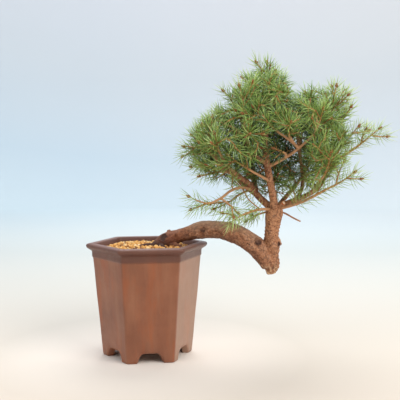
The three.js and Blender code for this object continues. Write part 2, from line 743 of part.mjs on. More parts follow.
// Where the needle on one side of a twig ends, or null where it has no room.
function needleTip(edge, station, inTuft, path, owner) {
  const root = new THREE.Vector3();
  edge.forEach((corner) => root.addScaledVector(corner, 0.25));
  const out = root.clone().sub(station.place);
  out.addScaledVector(station.along, -out.dot(station.along)).normalize();
  const lean = THREE.MathUtils.degToRad((inTuft ? TUFT_LEAN : NEEDLE_LEAN) + 12 * (draw() - 0.5));
  const length = NEEDLE_LENGTH * (0.9 + 0.2 * draw());
  const tip = root.clone().addScaledVector(station.along, length * Math.cos(lean));
  tip.addScaledVector(out, length * Math.sin(lean));
  const others = placed.filter((piece) => piece.path !== path && piece.from.distanceTo(root) < 3 * length);
  if (!isClear(root, tip, NEEDLE_WIDTH / 2, NEEDLE_SPACING, others)) {
    return null;
  }
  placed.push({ from: root, to: tip, radius: NEEDLE_WIDTH / 2, owner, path });
  return tip;
}

// One spray: a leafy twig and its shoots, grown as one, with its own draws. Where they don't close,
// the needles are drawn again.
function spray({ name, path, bare, radiusAt, shoots }, number) {
  const base = Math.max(radiusAt(bare), 1.1 * TWIG_RADIUS);
  const before = placed.length;
  let drawn = DRAWN_BEFORE[name] ?? 0;
  let body = null;
  while (!body) {
    draw = seeded(1000003 + 104729 * number + 15485863 * drawn);
    drawn += 1;
    placed.length = before;
    const parts = [leafyTwig(path, bare + GAP, bare + FIRST_WHORL, base, base, name)];
    for (const shoot of shoots) {
      parts.push(leafyTwig(shoot, 0, FIRST_WHORL, TWIG_RADIUS, 0.4 * TWIG_RADIUS, name));
    }
    body = grown(parts);
  }
  return body;
}

// Wood: roots, trunk, living stem, knots, and every branch's bare length, grown as one.
function wood() {
  const { path: rise, radiusAt: riseRadius } = livingStem;
  const pieces = [buriedWood(0), stem(rise, 0, rise.length, 13, 10, riseRadius)];
  for (const { route: points, radius } of KNOTS) {
    const path = route(points);
    pieces.push(stem(path, 0, path.length, 2, 7, taper(path, radius, 0.6 * radius)));
  }
  for (const { path, bare, radiusAt } of new Set([...limbs, ...sprays])) {
    const sides = radiusAt(0) > 2.5 ? 6 : 4;
    pieces.push(stem(path, 0, bare, Math.max(1, Math.round(bare / 12)), sides, radiusAt));
  }
  return grown(pieces);
}

// Soil: a plug that fills the pot, mounded and grainy on top, with holes for the roots and a recess
// over the screen.
function soil() {
  const clear = GAP / Math.cos(Math.PI / 6) + 0.4;
  const foot = FOOT_RADIUS + 1 - WALL - clear;
  const top = RIM_RADIUS - 9.5 - 3.6 - clear;
  const rings = [0.97, 0.8, 0.62, 0.44, 0.24];
  const profile = [[0, FLOOR_TOP + GAP], [foot, FLOOR_TOP + GAP], [top, POT_HEIGHT - 13]];
  rings.forEach((share) => profile.push([share * top, SOIL_EDGE]));
  profile.push([0, SOIL_EDGE]);
  const plug = turned(profile, 30, turn);
  const corners = plug.getAttribute('position');
  for (let i = 0; i < corners.count; i += 1) {
    const [x, y, z] = [corners.getX(i), corners.getY(i), corners.getZ(i)];
    const radius = Math.hypot(x, y);
    const fromCorner = ((((Math.atan2(x, -y) - turn) % (Math.PI / 3)) + Math.PI / 3) % (Math.PI / 3));
    const flat = Math.cos(Math.PI / 6) / Math.cos(fromCorner - Math.PI / 6);
    const mound = (SOIL_TOP - SOIL_EDGE) * (1 - (radius / top) ** 2);
    const coarse = Math.sin(0.9 * x + 1.7 * y) * Math.cos(1.3 * x - 0.8 * y);
    const grains = coarse + 0.6 * Math.sin(2.1 * x + 0.4 * y);
    corners.setXYZ(i, x * flat, y * flat, z > POT_HEIGHT - 12 ? z + mound + GRAIN * grains : z);
  }
  const recess = new THREE.BoxGeometry(SCREEN_SIDE + 2, SCREEN_SIDE + 2, 2 * (SCREEN_THICKNESS + 2 * GAP));
  const filling = solid(plug).subtract(buriedWood(GAP)).subtract(solid(recess.translate(0, 0, FLOOR_TOP)));
  return grown([filling]);
}

// Screen: a square of plastic net on the pot's floor, over the drain hole.
function screen() {
  const bottom = FLOOR_TOP + GAP;
  const plate = new THREE.BoxGeometry(SCREEN_SIDE, SCREEN_SIDE, SCREEN_THICKNESS);
  let net = solid(plate.translate(0, 0, bottom + SCREEN_THICKNESS / 2));
  const pitch = (SCREEN_SIDE - SCREEN_BAR) / SCREEN_HOLES;
  for (let row = 0; row < SCREEN_HOLES; row += 1) {
    for (let column = 0; column < SCREEN_HOLES; column += 1) {
      const hole = new THREE.BoxGeometry(pitch - SCREEN_BAR, pitch - SCREEN_BAR, 9);
      const x = (column - (SCREEN_HOLES - 1) / 2) * pitch;
      const y = (row - (SCREEN_HOLES - 1) / 2) * pitch;
      net = net.subtract(solid(hole.translate(x, y, bottom)));
    }
  }
  return net;
}

addPiece('pot', pot(), stoneware);
addPiece('soil', soil(), akadama);
addPiece('drain_screen', screen(), blackPlastic);
addPiece('trunk', wood(), bark);
sprays.forEach((item, number) => {
  addPiece(`${item.name}${item.name.startsWith('spray') ? '' : '_spray'}`, spray(item, number), green);
});

// The origin goes under the middle of the whole tree's box, on the surface that the pot stands on.
const box = new THREE.Box3().setFromObject(tree);
const middle = box.getCenter(new THREE.Vector3());
tree.position.set(-Math.round(middle.x), -Math.round(middle.y), 0);

export default tree;
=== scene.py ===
import math
import random

import bmesh
import bpy
import numpy as np
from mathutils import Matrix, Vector, noise


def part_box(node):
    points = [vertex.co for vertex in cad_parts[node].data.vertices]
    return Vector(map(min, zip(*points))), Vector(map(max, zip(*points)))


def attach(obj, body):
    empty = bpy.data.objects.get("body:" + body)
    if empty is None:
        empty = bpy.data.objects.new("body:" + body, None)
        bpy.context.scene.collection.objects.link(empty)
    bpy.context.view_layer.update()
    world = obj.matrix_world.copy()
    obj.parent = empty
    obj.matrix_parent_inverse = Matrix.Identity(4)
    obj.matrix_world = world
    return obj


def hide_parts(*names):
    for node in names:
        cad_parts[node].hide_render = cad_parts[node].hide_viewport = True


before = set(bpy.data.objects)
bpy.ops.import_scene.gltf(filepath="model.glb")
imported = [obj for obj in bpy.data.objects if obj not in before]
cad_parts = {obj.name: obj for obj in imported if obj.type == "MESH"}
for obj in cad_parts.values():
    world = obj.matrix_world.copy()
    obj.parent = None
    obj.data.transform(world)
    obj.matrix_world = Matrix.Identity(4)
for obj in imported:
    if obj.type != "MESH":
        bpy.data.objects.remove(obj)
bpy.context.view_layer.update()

# Camera, floor and light.
# A long lens at the tree's own height, a pale seamless sweep that the pot stands on, and soft lamps.
# Pieces are in millimetres from the middle of the pot's foot; camera, lamps and finishes use metres.
low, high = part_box("pot")
POT_MIDDLE = np.array([(low[0] + high[0]) / 2, (low[1] + high[1]) / 2, 0.0])

camera = bpy.data.objects.new("camera", bpy.data.cameras.new("camera"))
camera.data.sensor_width = 36
camera.data.lens = 64.8
camera.location = Vector(POT_MIDDLE) + Vector((0.056, -0.760, 0.220))
camera.rotation_euler = (math.radians(85.8), 0, 0)
bpy.context.scene.collection.objects.link(camera)
bpy.context.scene.camera = camera


def paint(red, green, blue):
    """A colour as it is seen, from 0 to 255, in the light values that shaders use."""
    lights = [c / 255 / 12.92 if c <= 10 else ((c / 255 + 0.055) / 1.055) ** 2.4 for c in (red, green, blue)]
    return [*lights, 1]


def new_finish(name, roughness):
    """A material, and its shader with an even roughness."""
    finish = bpy.data.materials.new(name)
    finish.use_nodes = True
    shader = finish.node_tree.nodes["Principled BSDF"]
    shader.inputs["Roughness"].default_value = roughness
    return finish, shader


def add(finish, kind, links=None, **settings):
    """Adds a node. links gives each socket a value, or another node's socket to join it to."""
    made = finish.node_tree.nodes.new("ShaderNode" + kind)
    for name, value in settings.items():
        setattr(made, name, value)
    for socket, value in (links or {}).items():
        if isinstance(value, bpy.types.NodeSocket):
            finish.node_tree.links.new(value, made.inputs[socket])
        else:
            made.inputs[socket].default_value = value
    return made


def own_place(finish):
    """Where each point of the surface is, in metres."""
    return add(finish, "TexCoord").outputs["Object"]


def ramp(finish, source, stops):
    """A colour for each value of source, from stops of (value, shade)."""
    made = add(finish, "ValToRGB", {"Fac": source})
    colours = made.color_ramp.elements
    colours[0].position, colours[0].color = stops[0][0], paint(*stops[0][1])
    colours[1].position, colours[1].color = stops[-1][0], paint(*stops[-1][1])
    for position, shade in stops[1:-1]:
        colours.new(position).color = paint(*shade)
    return made.outputs["Color"]


def fade(finish, value, start, end, least=0.0, most=1.0):
    """A number that goes from least to most as value goes from start to end, and no further."""
    links = {"Value": value, "From Min": start, "From Max": end, "To Min": least, "To Max": most}
    return add(finish, "MapRange", links).outputs["Result"]


def times(finish, one, other):
    """The product of two numbers."""
    return add(finish, "Math", {0: one, 1: other}, operation="MULTIPLY").outputs[0]


def plus(finish, one, other):
    """The sum of two numbers."""
    return add(finish, "Math", {0: one, 1: other}, operation="ADD").outputs[0]


def tint(finish, colour, share, shade):
    """Covers a colour with a shade, by a share from 0 to 1."""
    made = add(finish, "Mix", {"Factor": share}, data_type="RGBA")
    finish.node_tree.links.new(colour, made.inputs[6])
    made.inputs[7].default_value = paint(*shade)
    return made.outputs[2]


def join(finish, source, shader, socket):
    """Leads a colour or a number to a socket of the shader."""
    finish.node_tree.links.new(source, shader.inputs[socket])


def new_piece(name, corners, faces, finishes):
    """A mesh object from corners in millimetres from the middle of the pot's foot."""
    mesh = bpy.data.meshes.new(name)
    mesh.from_pydata(((np.asarray(corners) / 1000) + POT_MIDDLE).tolist(), [], faces)
    mesh.update()
    for finish in finishes:
        mesh.materials.append(finish)
    mesh.polygons.foreach_set("use_smooth", [True] * len(mesh.polygons))
    piece = bpy.data.objects.new(name, mesh)
    bpy.context.scene.collection.objects.link(piece)
    return piece


def loft(rings, closed=False):
    """Corners and faces of a skin over rings of equally many corners; closed joins the last to the first."""
    count = len(rings[0])
    faces = []
    for k in range(len(rings) if closed else len(rings) - 1):
        one, other = k * count, (k + 1) % len(rings) * count
        for j in range(count):
            after = (j + 1) % count
            faces.append((one + j, one + after, other + after, other + j))
    return [corner for ring in rings for corner in ring], faces


SWEEP_RADIUS = 2300
SWEEP_BEND = 500
SWEEP_HEIGHT = 1500
SWEEP_SIDES = 64
sweep_profile = [(0.1, 0), (400, 0), (SWEEP_RADIUS - SWEEP_BEND, 0)]
for step in range(1, 13):
    angle = math.pi / 2 * step / 12
    out = SWEEP_RADIUS - SWEEP_BEND * (1 - math.sin(angle))
    sweep_profile.append((out, SWEEP_BEND * (1 - math.cos(angle))))
sweep_profile.append((SWEEP_RADIUS, SWEEP_HEIGHT))
turns = [2 * math.pi * j / SWEEP_SIDES for j in range(SWEEP_SIDES)]
sweep_rings = [[(r * math.cos(a), r * math.sin(a), z) for a in turns] for r, z in sweep_profile]

# The paper goes from warm to cool and back with its distance and is warmer at the far right, as painted
# light and shade of the sweep's lighting. Round the pot it is painted lighter, for a pale plate there and
# as painted light that fills in the pot's shadow.
paper, paper_shader = new_finish("seamless_paper", 0.9)
place = add(paper, "SeparateXYZ", {"Vector": own_place(paper)}).outputs
away = fade(paper, plus(paper, place["Y"], place["Z"]), -0.15, 3.25)
# Painted light and shade along the sweep, by distance from the front.
paper_colour = ramp(paper, away, [
    (0.0, (213, 201, 188)), (0.14, (203, 200, 193)), (0.26, (192, 196, 194)), (0.44, (198, 209, 213)),
    (0.56, (208, 222, 228)), (0.73, (198, 212, 222)), (0.87, (211, 216, 222)), (1.0, (214, 215, 222))])
# Painted warm light towards the far right of the sweep.
painted_light_far_right = times(paper, fade(paper, place["X"], -0.5, 0.8, most=0.28), fade(paper, away, 0.3, 0.5))
paper_colour = tint(paper, paper_colour, painted_light_far_right, (246, 236, 230))
from_pot = add(paper, "VectorMath", {0: own_place(paper), 1: POT_MIDDLE}, operation="DISTANCE")
# Painted light round the pot: lighter where its shadow falls, and standing in for a pale plate under it.
painted_light_round_pot = fade(paper, from_pot.outputs["Value"], 0.17, 0.05, most=0.85)
join(paper, tint(paper, paper_colour, painted_light_round_pot, (240, 231, 222)), paper_shader, "Base Color")
sweep = new_piece("sweep", *loft(sweep_rings), [paper])

world = bpy.data.worlds.new("studio")
world.use_nodes = True
world.node_tree.nodes["Background"].inputs["Color"].default_value = (0.86, 0.93, 1.0, 1)
world.node_tree.nodes["Background"].inputs["Strength"].default_value = 0.85
bpy.context.scene.world = world
bpy.context.scene.view_settings.view_transform = "Standard"


def lamp(name, place, size, power, colour, aim=(0.08, 0, 0.16)):
    """A square soft lamp that faces the tree, or another place. Both are in metres from the pot."""
    light = bpy.data.lights.new(name, "AREA")
    light.size, light.energy, light.color = size, power, colour
    holder = bpy.data.objects.new(name, light)
    holder.location = Vector(POT_MIDDLE) + Vector(place)
    aim = Vector(POT_MIDDLE) + Vector(aim)
    holder.rotation_euler = (aim - holder.location).to_track_quat("-Z", "Y").to_euler()
    bpy.context.scene.collection.objects.link(holder)


lamp("lamp_right", (1.0, -0.9, 1.1), 0.9, 16, (1.0, 0.97, 0.92))
lamp("lamp_left", (-1.2, -0.8, 0.9), 1.0, 5, (0.96, 0.98, 1.0))
lamp("lamp_top", (0.2, 0.7, 1.4), 1.1, 14, (1.0, 0.99, 0.97))
lamp("lamp_sweep", (0.0, 0.9, 1.6), 1.3, 9, (0.92, 0.97, 1.0), aim=(0, 2.3, 0.75))

# The pot.
# One body of unglazed brown stoneware, pressed in a six-sided mould and fired: walls that widen
# upwards, a cove under a rounded lip, and six feet with bracket arches between them.
SHOULDER_RADIUS = 57.6
FOOT_RADIUS = 48
POT_TURN = -22
FLOOR_TOP = 17
FOOT_HEIGHT = 10
DRAIN_RADIUS = 10
FLAT = math.cos(math.radians(30))  # how near a side's middle is to the pot's, against its ends
SLOPE = math.tan(math.radians(30))


def hexagon(radius, rounding, heights, sides_at, uneven=0.0):
    """A ring round the pot. radius is to the corners before they are rounded, and heights gives the
    height at each place along a side, from 0 in its middle to 1 at its ends."""
    inner = radius * FLAT - rounding
    half = inner * SLOPE
    ring = []
    for side in range(6):
        turn = math.radians(POT_TURN + 60 * side)
        for step in range(6):
            angle = turn + math.radians(-30 + 12 * step)
            x = inner / FLAT * math.sin(turn) + rounding * math.sin(angle)
            y = -inner / FLAT * math.cos(turn) - rounding * math.cos(angle)
            ring.append((x, y, heights(1.0)))
        middle = turn + math.radians(30)
        for share in sides_at:
            x = (inner + rounding) * math.sin(middle) + share * half * math.cos(middle)
            y = -(inner + rounding) * math.cos(middle) + share * half * math.sin(middle)
            ring.append((x, y, heights(abs(share))))
    if uneven:
        ring = [(x * (1 + uneven * sway), y * (1 + uneven * sway), z) for x, y, z in ring
                for sway in [noise.noise(Vector((x, y, z)) / 26)]]
    return ring


# The bracket arch between two feet, from its foot up to its flat crown.
ARCH_HALF = 14.5
arch_steps = [t / 30 for t in range(31)]
arch_across = [(1 - t) ** 2 * ARCH_HALF + 2 * t * (1 - t) * 11 + t * t * 7 for t in arch_steps]
arch_rise = [(1 - t) ** 2 * 0.2 + 2 * t * (1 - t) * 9.5 + t * t * FOOT_HEIGHT for t in arch_steps]
foot_half = (FOOT_RADIUS * FLAT - 2.5) * SLOPE


def arch(share):
    """How high the pot's lower edge is at a place along a side."""
    across = share * foot_half
    return 0.0 if across >= ARCH_HALF else float(np.interp(-across, [-a for a in arch_across], arch_rise))


# Corners stand closer together where the arch is steep.
half_side = [0.08, 0.2, 0.31, 0.38, 0.44, 0.49, 0.54, 0.58, 0.62, 0.645, 0.66, 0.68, 0.78, 0.9]
side_places = [-s for s in reversed(half_side)] + half_side
APRON_TOP = 15
RECESS_RADIUS = 40
CEILING = 10.7


def apron(radius, rounding, share, rise=0.0):
    """A ring between the arched lower edge, at share 0, and the apron's level top, at share 1."""
    return hexagon(radius, rounding, lambda s: (arch(s) + rise) * (1 - share) + APRON_TOP * share,
                   side_places)


pot_rings = [
    hexagon(DRAIN_RADIUS / FLAT, DRAIN_RADIUS - 0.01, lambda s: CEILING, side_places),
    hexagon(RECESS_RADIUS - 1, 3, lambda s: CEILING, side_places),
    hexagon(RECESS_RADIUS, 2.5, lambda s: min(CEILING - 0.1, arch(s) + 1.5), side_places),
    hexagon(RECESS_RADIUS + 0.2, 2.5, lambda s: min(CEILING - 0.2, arch(s) + 0.4), side_places),
    apron(RECESS_RADIUS + 1, 2.5, 0, 0.03), apron(FOOT_RADIUS - 1.4, 2.5, 0, 0.03),
    apron(FOOT_RADIUS - 0.5, 2.8, 0, 0.35), apron(FOOT_RADIUS, 3, 0, 1.1),
    apron(FOOT_RADIUS + 0.4, 3, 0.35), apron(FOOT_RADIUS + 0.9, 3, 0.7),
]
WALL_TOP = 104
WALL_SWAY = 0.006  # the hand-pressed wall is this uneven, as a share of its radius
LIP_SWAY = 0.003
wall_profile = [(z, FOOT_RADIUS + (SHOULDER_RADIUS - FOOT_RADIUS) * z / WALL_TOP, 3)
                for z in range(APRON_TOP, WALL_TOP - 1, 6)]
lip_profile = [
    (103.6, 57.5, 3), (104.4, 57.7, 3), (104.9, 58.2, 3), (105.5, 58.5, 3), (108, 58.6, 3),
    (110.2, 58.65, 3.1), (111.1, 58.9, 3.2), (111.8, 59.6, 3.4), (112.5, 60.7, 3.7), (113.2, 61.9, 4),
    (113.9, 63, 4), (114.8, 64.1, 4), (115.7, 64.7, 4), (116.8, 65, 4), (117.7, 64.8, 4), (118.4, 64.2, 4),
    (118.9, 63.3, 4), (119.2, 62, 4), (119.4, 60, 4), (119.5, 57.6, 4), (119.2, 56.5, 4), (118.7, 55.8, 4),
    (117.8, 55.3, 4), (115.6, 54.6, 4), (111, 53.2, 4), (107, 51.9, 4), (62, 47.2, 4),
    (FLOOR_TOP + 1, 43.2, 4), (FLOOR_TOP, 42, 4),
]
for z, radius, rounding in wall_profile + lip_profile:
    sway = WALL_SWAY if 20 < z < 112 else LIP_SWAY
    pot_rings.append(hexagon(radius, rounding, lambda s, z=z: z, side_places, sway))
pot_rings.append(hexagon(DRAIN_RADIUS / FLAT, DRAIN_RADIUS - 0.01, lambda s: FLOOR_TOP, side_places))


def grain(finish, size, detail=3, stretch=(1, 1, 1), roughness=0.55):
    """Cloudy noise whose patches are about size millimetres across."""
    scaled = add(finish, "Mapping", {"Vector": own_place(finish), "Scale": [1000 / s for s in stretch]})
    settings = {"Vector": scaled.outputs["Vector"], "Scale": 1 / size, "Detail": detail,
                "Roughness": roughness}
    return add(finish, "TexNoise", settings).outputs["Fac"]


def relief(finish, shader, height, depth):
    """Turns height into bumps that are depth millimetres deep."""
    bump = add(finish, "Bump", {"Height": height, "Strength": 1.0, "Distance": depth / 1000})
    join(finish, bump.outputs["Normal"], shader, "Normal")


# The fired clay is streaked from top to bottom. Its right side is painted paler, a painted reflection of the
# bright backdrop; from the cove under the lip upwards it is painted darker, a painted shade under the
# overhang that darkens the lip's face too, and the rim's top is painted a little lighter, a painted sheen.
stoneware, stoneware_shader = new_finish("stoneware", 0.5)
body_colour = ramp(stoneware, grain(stoneware, 34, 4), [
    (0.28, (124, 75, 52)), (0.5, (136, 84, 59)), (0.74, (149, 95, 68))])
pale_streaks = fade(stoneware, grain(stoneware, 9, 3, (1, 1, 9)), 0.42, 0.75, most=0.3)
body_colour = tint(stoneware, body_colour, pale_streaks, (168, 118, 88))
burnt_streaks = fade(stoneware, grain(stoneware, 13, 3, (1, 1, 5)), 0.5, 0.72, most=0.7)
body_colour = tint(stoneware, body_colour, burnt_streaks, (158, 80, 38))

# The right face is painted paler: a painted reflection of the bright backdrop on that side.
PAINTED_REFLECTION_SIDE = math.radians(POT_TURN + 90)
from_middle = add(stoneware, "VectorMath", {0: own_place(stoneware), 1: POT_MIDDLE}, operation="SUBTRACT")


def reach(x, y):
    """How far each point is from the pot's middle in a direction."""
    links = {0: from_middle.outputs["Vector"], 1: (x, y, 0)}
    return add(stoneware, "VectorMath", links, operation="DOT_PRODUCT").outputs["Value"]


outwards = reach(math.sin(PAINTED_REFLECTION_SIDE), -math.cos(PAINTED_REFLECTION_SIDE))
sideways = reach(math.cos(PAINTED_REFLECTION_SIDE), math.sin(PAINTED_REFLECTION_SIDE))
half_width = times(stoneware, outwards, SLOPE)
sideways = add(stoneware, "Math", {0: sideways}, operation="ABSOLUTE").outputs[0]
within = add(stoneware, "Math", {0: half_width, 1: sideways}, operation="SUBTRACT").outputs[0]
painted_reflection = fade(stoneware, within, -0.0005, 0.0025, most=0.42)
body_colour = tint(stoneware, body_colour, painted_reflection, (186, 158, 138))
height = add(stoneware, "SeparateXYZ", {"Vector": own_place(stoneware)}).outputs["Z"]
# Painted shade from the cove under the lip upwards, which also darkens the lip's face.
body_colour = tint(stoneware, body_colour, fade(stoneware, height, 0.1035, 0.106, most=0.78), (88, 56, 49))
# A painted sheen on the rim's upward-facing top.
body_colour = tint(stoneware, body_colour, fade(stoneware, height, 0.1175, 0.1192, most=0.3), (132, 94, 82))
specks = fade(stoneware, grain(stoneware, 0.7, 2), 0.62, 0.76, most=0.5)
join(stoneware, tint(stoneware, body_colour, specks, (80, 48, 36)), stoneware_shader, "Base Color")
sheen = fade(stoneware, grain(stoneware, 12, 4), 0, 1, 0.3, 0.52)
join(stoneware, sheen, stoneware_shader, "Roughness")
waves = times(stoneware, grain(stoneware, 7, 2), 1.4)
relief(stoneware, stoneware_shader, plus(stoneware, grain(stoneware, 0.9, 4), waves), 0.22)

pot_piece = new_piece("stoneware_pot", *loft(pot_rings, closed=True), [stoneware])
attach(pot_piece, "root")
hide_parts("pot")

# The drain screen.
# A square of black plastic net laid over the hole in the pot's floor before the soil goes in. It
# keeps its shape from the model and gets its moulded finish here.


def clouded(name, roughness, size, detail, stops):
    """A finish whose colour wanders between a few shades, in patches about size millimetres across."""
    finish, shader = new_finish(name, roughness)
    join(finish, ramp(finish, grain(finish, size, detail), stops), shader, "Base Color")
    return finish, shader


black_net, net_shader = clouded("black_net", 0.45, 3, 3, [(0.35, (24, 25, 24)), (0.7, (44, 44, 42))])
relief(black_net, net_shader, grain(black_net, 0.4, 2), 0.05)
screen_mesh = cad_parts["drain_screen"].data
screen_mesh.materials.clear()
screen_mesh.materials.append(black_net)

# The soil.
# A mound of fired clay and pumice granules, 2 to 5 mm, poured round the roots, with dust and finer
# grains between them. The plug below the surface fills the pot.
SOIL_RADIUS = 51.1
SOIL_EDGE = 113
SOIL_TOP = 116.5
GRAINS_ABOVE = 0.9  # how far the granules stand above the dust


def soil_height(x, y):
    """The height of the mound, which is highest in its middle."""
    return SOIL_EDGE + (SOIL_TOP - SOIL_EDGE) * (1 - (x * x + y * y) / SOIL_RADIUS ** 2) - GRAINS_ABOVE


def flat_radius(x, y):
    """How far out a point is, as the radius of the hexagon that it lies on."""
    away = math.degrees(math.atan2(x, -y)) - POT_TURN
    return math.hypot(x, y) * math.cos(math.radians((away % 60) - 30)) / FLAT


plug_rings = [hexagon(radius, 3, lambda s, z=z: z, side_places[::4])
              for z, radius in ((FLOOR_TOP + 2.6, 1), (FLOOR_TOP + 2.6, 40), (60, 45.5), (106, 50.6))]
for share in (1, 0.96, 0.9, 0.8, 0.7, 0.6, 0.5, 0.4, 0.3, 0.2, 0.1, 0.01):
    ring = hexagon(SOIL_RADIUS * share, 3 * share, lambda s: 0, side_places[::2][:len(side_places[::4])])
    plug_rings.append([(x, y, soil_height(x, y) + 0.6 * noise.noise(Vector((x, y, 7)) / 2.2))
                       for x, y, _ in ring])

fired_clay, clay_shader = new_finish("fired_clay", 0.95)
each = add(fired_clay, "NewGeometry").outputs["Random Per Island"]
clay_colour = ramp(fired_clay, each, [
    (0.0, (112, 72, 42)), (0.1, (164, 112, 62)), (0.28, (220, 162, 88)), (0.6, (238, 184, 108)),
    (0.86, (246, 206, 138)), (1.0, (246, 224, 182))])
stains = fade(fired_clay, grain(fired_clay, 1.1, 4), 0.42, 0.72, most=0.5)
join(fired_clay, tint(fired_clay, clay_colour, stains, (156, 104, 54)), clay_shader, "Base Color")
relief(fired_clay, clay_shader, grain(fired_clay, 0.5, 4), 0.25)

dust, dust_shader = clouded("soil_dust", 1.0, 1.6, 5, [
    (0.35, (134, 92, 50)), (0.55, (186, 134, 74)), (0.75, (212, 162, 98))])
relief(dust, dust_shader, grain(dust, 0.7, 4), 0.4)

plug = new_piece("soil_plug", *loft(plug_rings), [dust])
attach(plug, "root")
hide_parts("soil")


def pebble(subdivisions):
    """A ball's corners and faces, to be squeezed into granules."""
    ball = bmesh.new()
    bmesh.ops.create_icosphere(ball, subdivisions=subdivisions, radius=1)
    shape = (np.array([v.co for v in ball.verts]), [[v.index for v in f.verts] for f in ball.faces])
    ball.free()
    return shape


def together(shapes):
    """Several (corners, faces) as one."""
    corners, faces = [], []
    for some, between in shapes:
        offset = len(corners)
        corners.extend(some)
        faces.extend([[i + offset for i in face] for face in between])
    return corners, faces


# Half sizes, roundness and tries. The largest are laid first, and smaller ones fit between them.
GRANULES = ((2.1, 2, 500), (1.5, 2, 1500), (0.95, 1, 3600))
CLOSE = 0.86  # how much of their half sizes lies between two neighbours
pick = random.Random(5)
granules, laid = [], []
for size, subdivisions, tries in GRANULES:
    ball_corners, ball_faces = pebble(subdivisions)
    for _ in range(tries):
        x, y = pick.uniform(-50, 50), pick.uniform(-50, 50)
        half = size * pick.uniform(0.72, 1.15)
        if flat_radius(x, y) > SOIL_RADIUS - half:
            continue
        if any((x - u) ** 2 + (y - v) ** 2 < (CLOSE * half + CLOSE * w) ** 2 for u, v, w in laid):
            continue
        laid.append((x, y, half))
        squeeze = half * np.array([
            pick.uniform(0.8, 1.15), pick.uniform(0.75, 1.0), pick.uniform(0.65, 0.95)])
        spin = Vector((pick.random(), pick.random(), pick.random())).to_track_quat("Z", "Y").to_matrix()
        shift = Vector((x, y, size))
        rough = np.array([1 + 0.34 * noise.noise(Vector(c) * 1.7 + shift) for c in ball_corners])
        shape = (ball_corners * rough[:, None] * squeeze) @ np.array(spin).T
        granules.append((shape + np.array([x, y, soil_height(x, y) + 0.45 * half]), ball_faces))

soil_grains = new_piece("soil_granules", *together(granules), [fired_clay])
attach(soil_grains, "root")
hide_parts("soil")

# The trunk and the living stem.
# One grown stem: out of the soil, along over the pot's rim and down to an old break, where the living
# stem rises. Its bark flakes, its upper roots are bare, and healed scars mark where branches were.
TRUNK = [
    (5, 90, 4.5), (7, 102, 6.5), (11, 113, 8), (20, 121.5, 7.6), (31, 125.5, 7), (44, 129, 8), (57, 132, 9),
    (70, 132.5, 9.6), (83, 131.5, 9.9), (95, 128, 10.2), (106, 121.5, 10.4), (116, 113.5, 10.4),
    (124, 104, 10), (130, 94.5, 8.5),
]
STEM = [
    (132.5, 85.5, 4.5), (132, 89, 8.2), (132, 96, 9), (132, 104, 8), (132.5, 112, 8.6), (132.5, 120, 8.4),
    (132, 128, 7.4), (132.5, 136, 7.5), (133.5, 144, 8.2), (134.5, 151, 9.6), (134.5, 157, 9.2),
    (134, 161, 5.5),
]
ROOTS = [
    ([(12, 0, 114), (1, -5, 116), (-9, -9, 114), (-16, -12, 107)], 4),
    ([(12, 0, 112), (4, 7, 115), (-5, 15, 113), (-10, 21, 106)], 3.6),
    ([(14, 0, 114), (15, -10, 115.5), (21, -18, 113), (26, -25, 106)], 3.8),
    ([(18, 0, 115), (21, 10, 115.5), (29, 17, 113), (34, 23, 106)], 3.6),
    ([(18, 0, 116), (29, -5, 117), (37, -7, 114), (41, -8, 107)], 3.2),
]
KNOTS = [
    ([(59, -4, 130), (59, -7, 132.5), (59, -9.8, 134.5)], 3.4),
    ([(133, 0, 117), (138, -1, 118.5), (142, -1, 119.5)], 5.2),
    ([(117, -4, 118), (117, -8, 120.5), (117, -10.6, 121.5)], 4.6),
    ([(137, -6, 157), (140.5, -10, 160), (143, -13, 162)], 2.7),
    ([(24, 2, 124), (23, 3, 129), (22.5, 3.5, 132)], 3),
    ([(31, -3, 123), (31, -6, 127), (31, -8, 130)], 2.6),
]
SCARS = [((117, -9.5, 121), 5.2), ((59, -9, 134), 3.4), ((17, -7, 126), 6), ((139, -6, 118), 3)]


class Route:
    """A smooth curve through points that a stem follows, measured by its length."""

    PARTS = 240

    def __init__(self, points):
        self.points = [np.array(p, float) for p in points]
        first, last = self.points[0], self.points[-1]
        self.points = [2 * first - self.points[1], *self.points, 2 * last - self.points[-2]]
        samples = np.array([self.at(i / self.PARTS) for i in range(self.PARTS + 1)])
        steps = np.linalg.norm(np.diff(samples, axis=0), axis=1)
        self.lengths = np.concatenate([[0], np.cumsum(steps)])
        self.length = float(self.lengths[-1])

    def at(self, t):
        """The point at t from 0 to 1, where each span between two points takes the same share."""
        spans = len(self.points) - 3
        span = min(int(t * spans), spans - 1)
        w = t * spans - span
        before, start, end, after = self.points[span:span + 4]
        leave, arrive = (end - before) / 2, (after - start) / 2
        return (start + leave * w + (3 * (end - start) - 2 * leave - arrive) * w ** 2
                + (2 * (start - end) + leave + arrive) * w ** 3)

    def _t(self, distance):
        """The t of a length along the curve."""
        return float(np.interp(distance, self.lengths, np.linspace(0, 1, self.PARTS + 1)))

    def place(self, distance):
        return self.at(self._t(distance))

    def along(self, distance):
        t = self._t(distance)
        ahead = self.at(min(1, t + 1e-4)) - self.at(max(0, t - 1e-4))
        return ahead / np.linalg.norm(ahead)

    def stations(self, distances):
        """For each distance the place, the direction along, and two directions across that never twist."""
        across = np.array([0.3, 1, 0.2])
        found = []
        for distance in distances:
            distance = min(distance, self.length)
            along = self.along(distance)
            across = across - along * (across @ along)
            across = across / np.linalg.norm(across)
            found.append((self.place(distance), along, across, np.cross(along, across)))
        return found


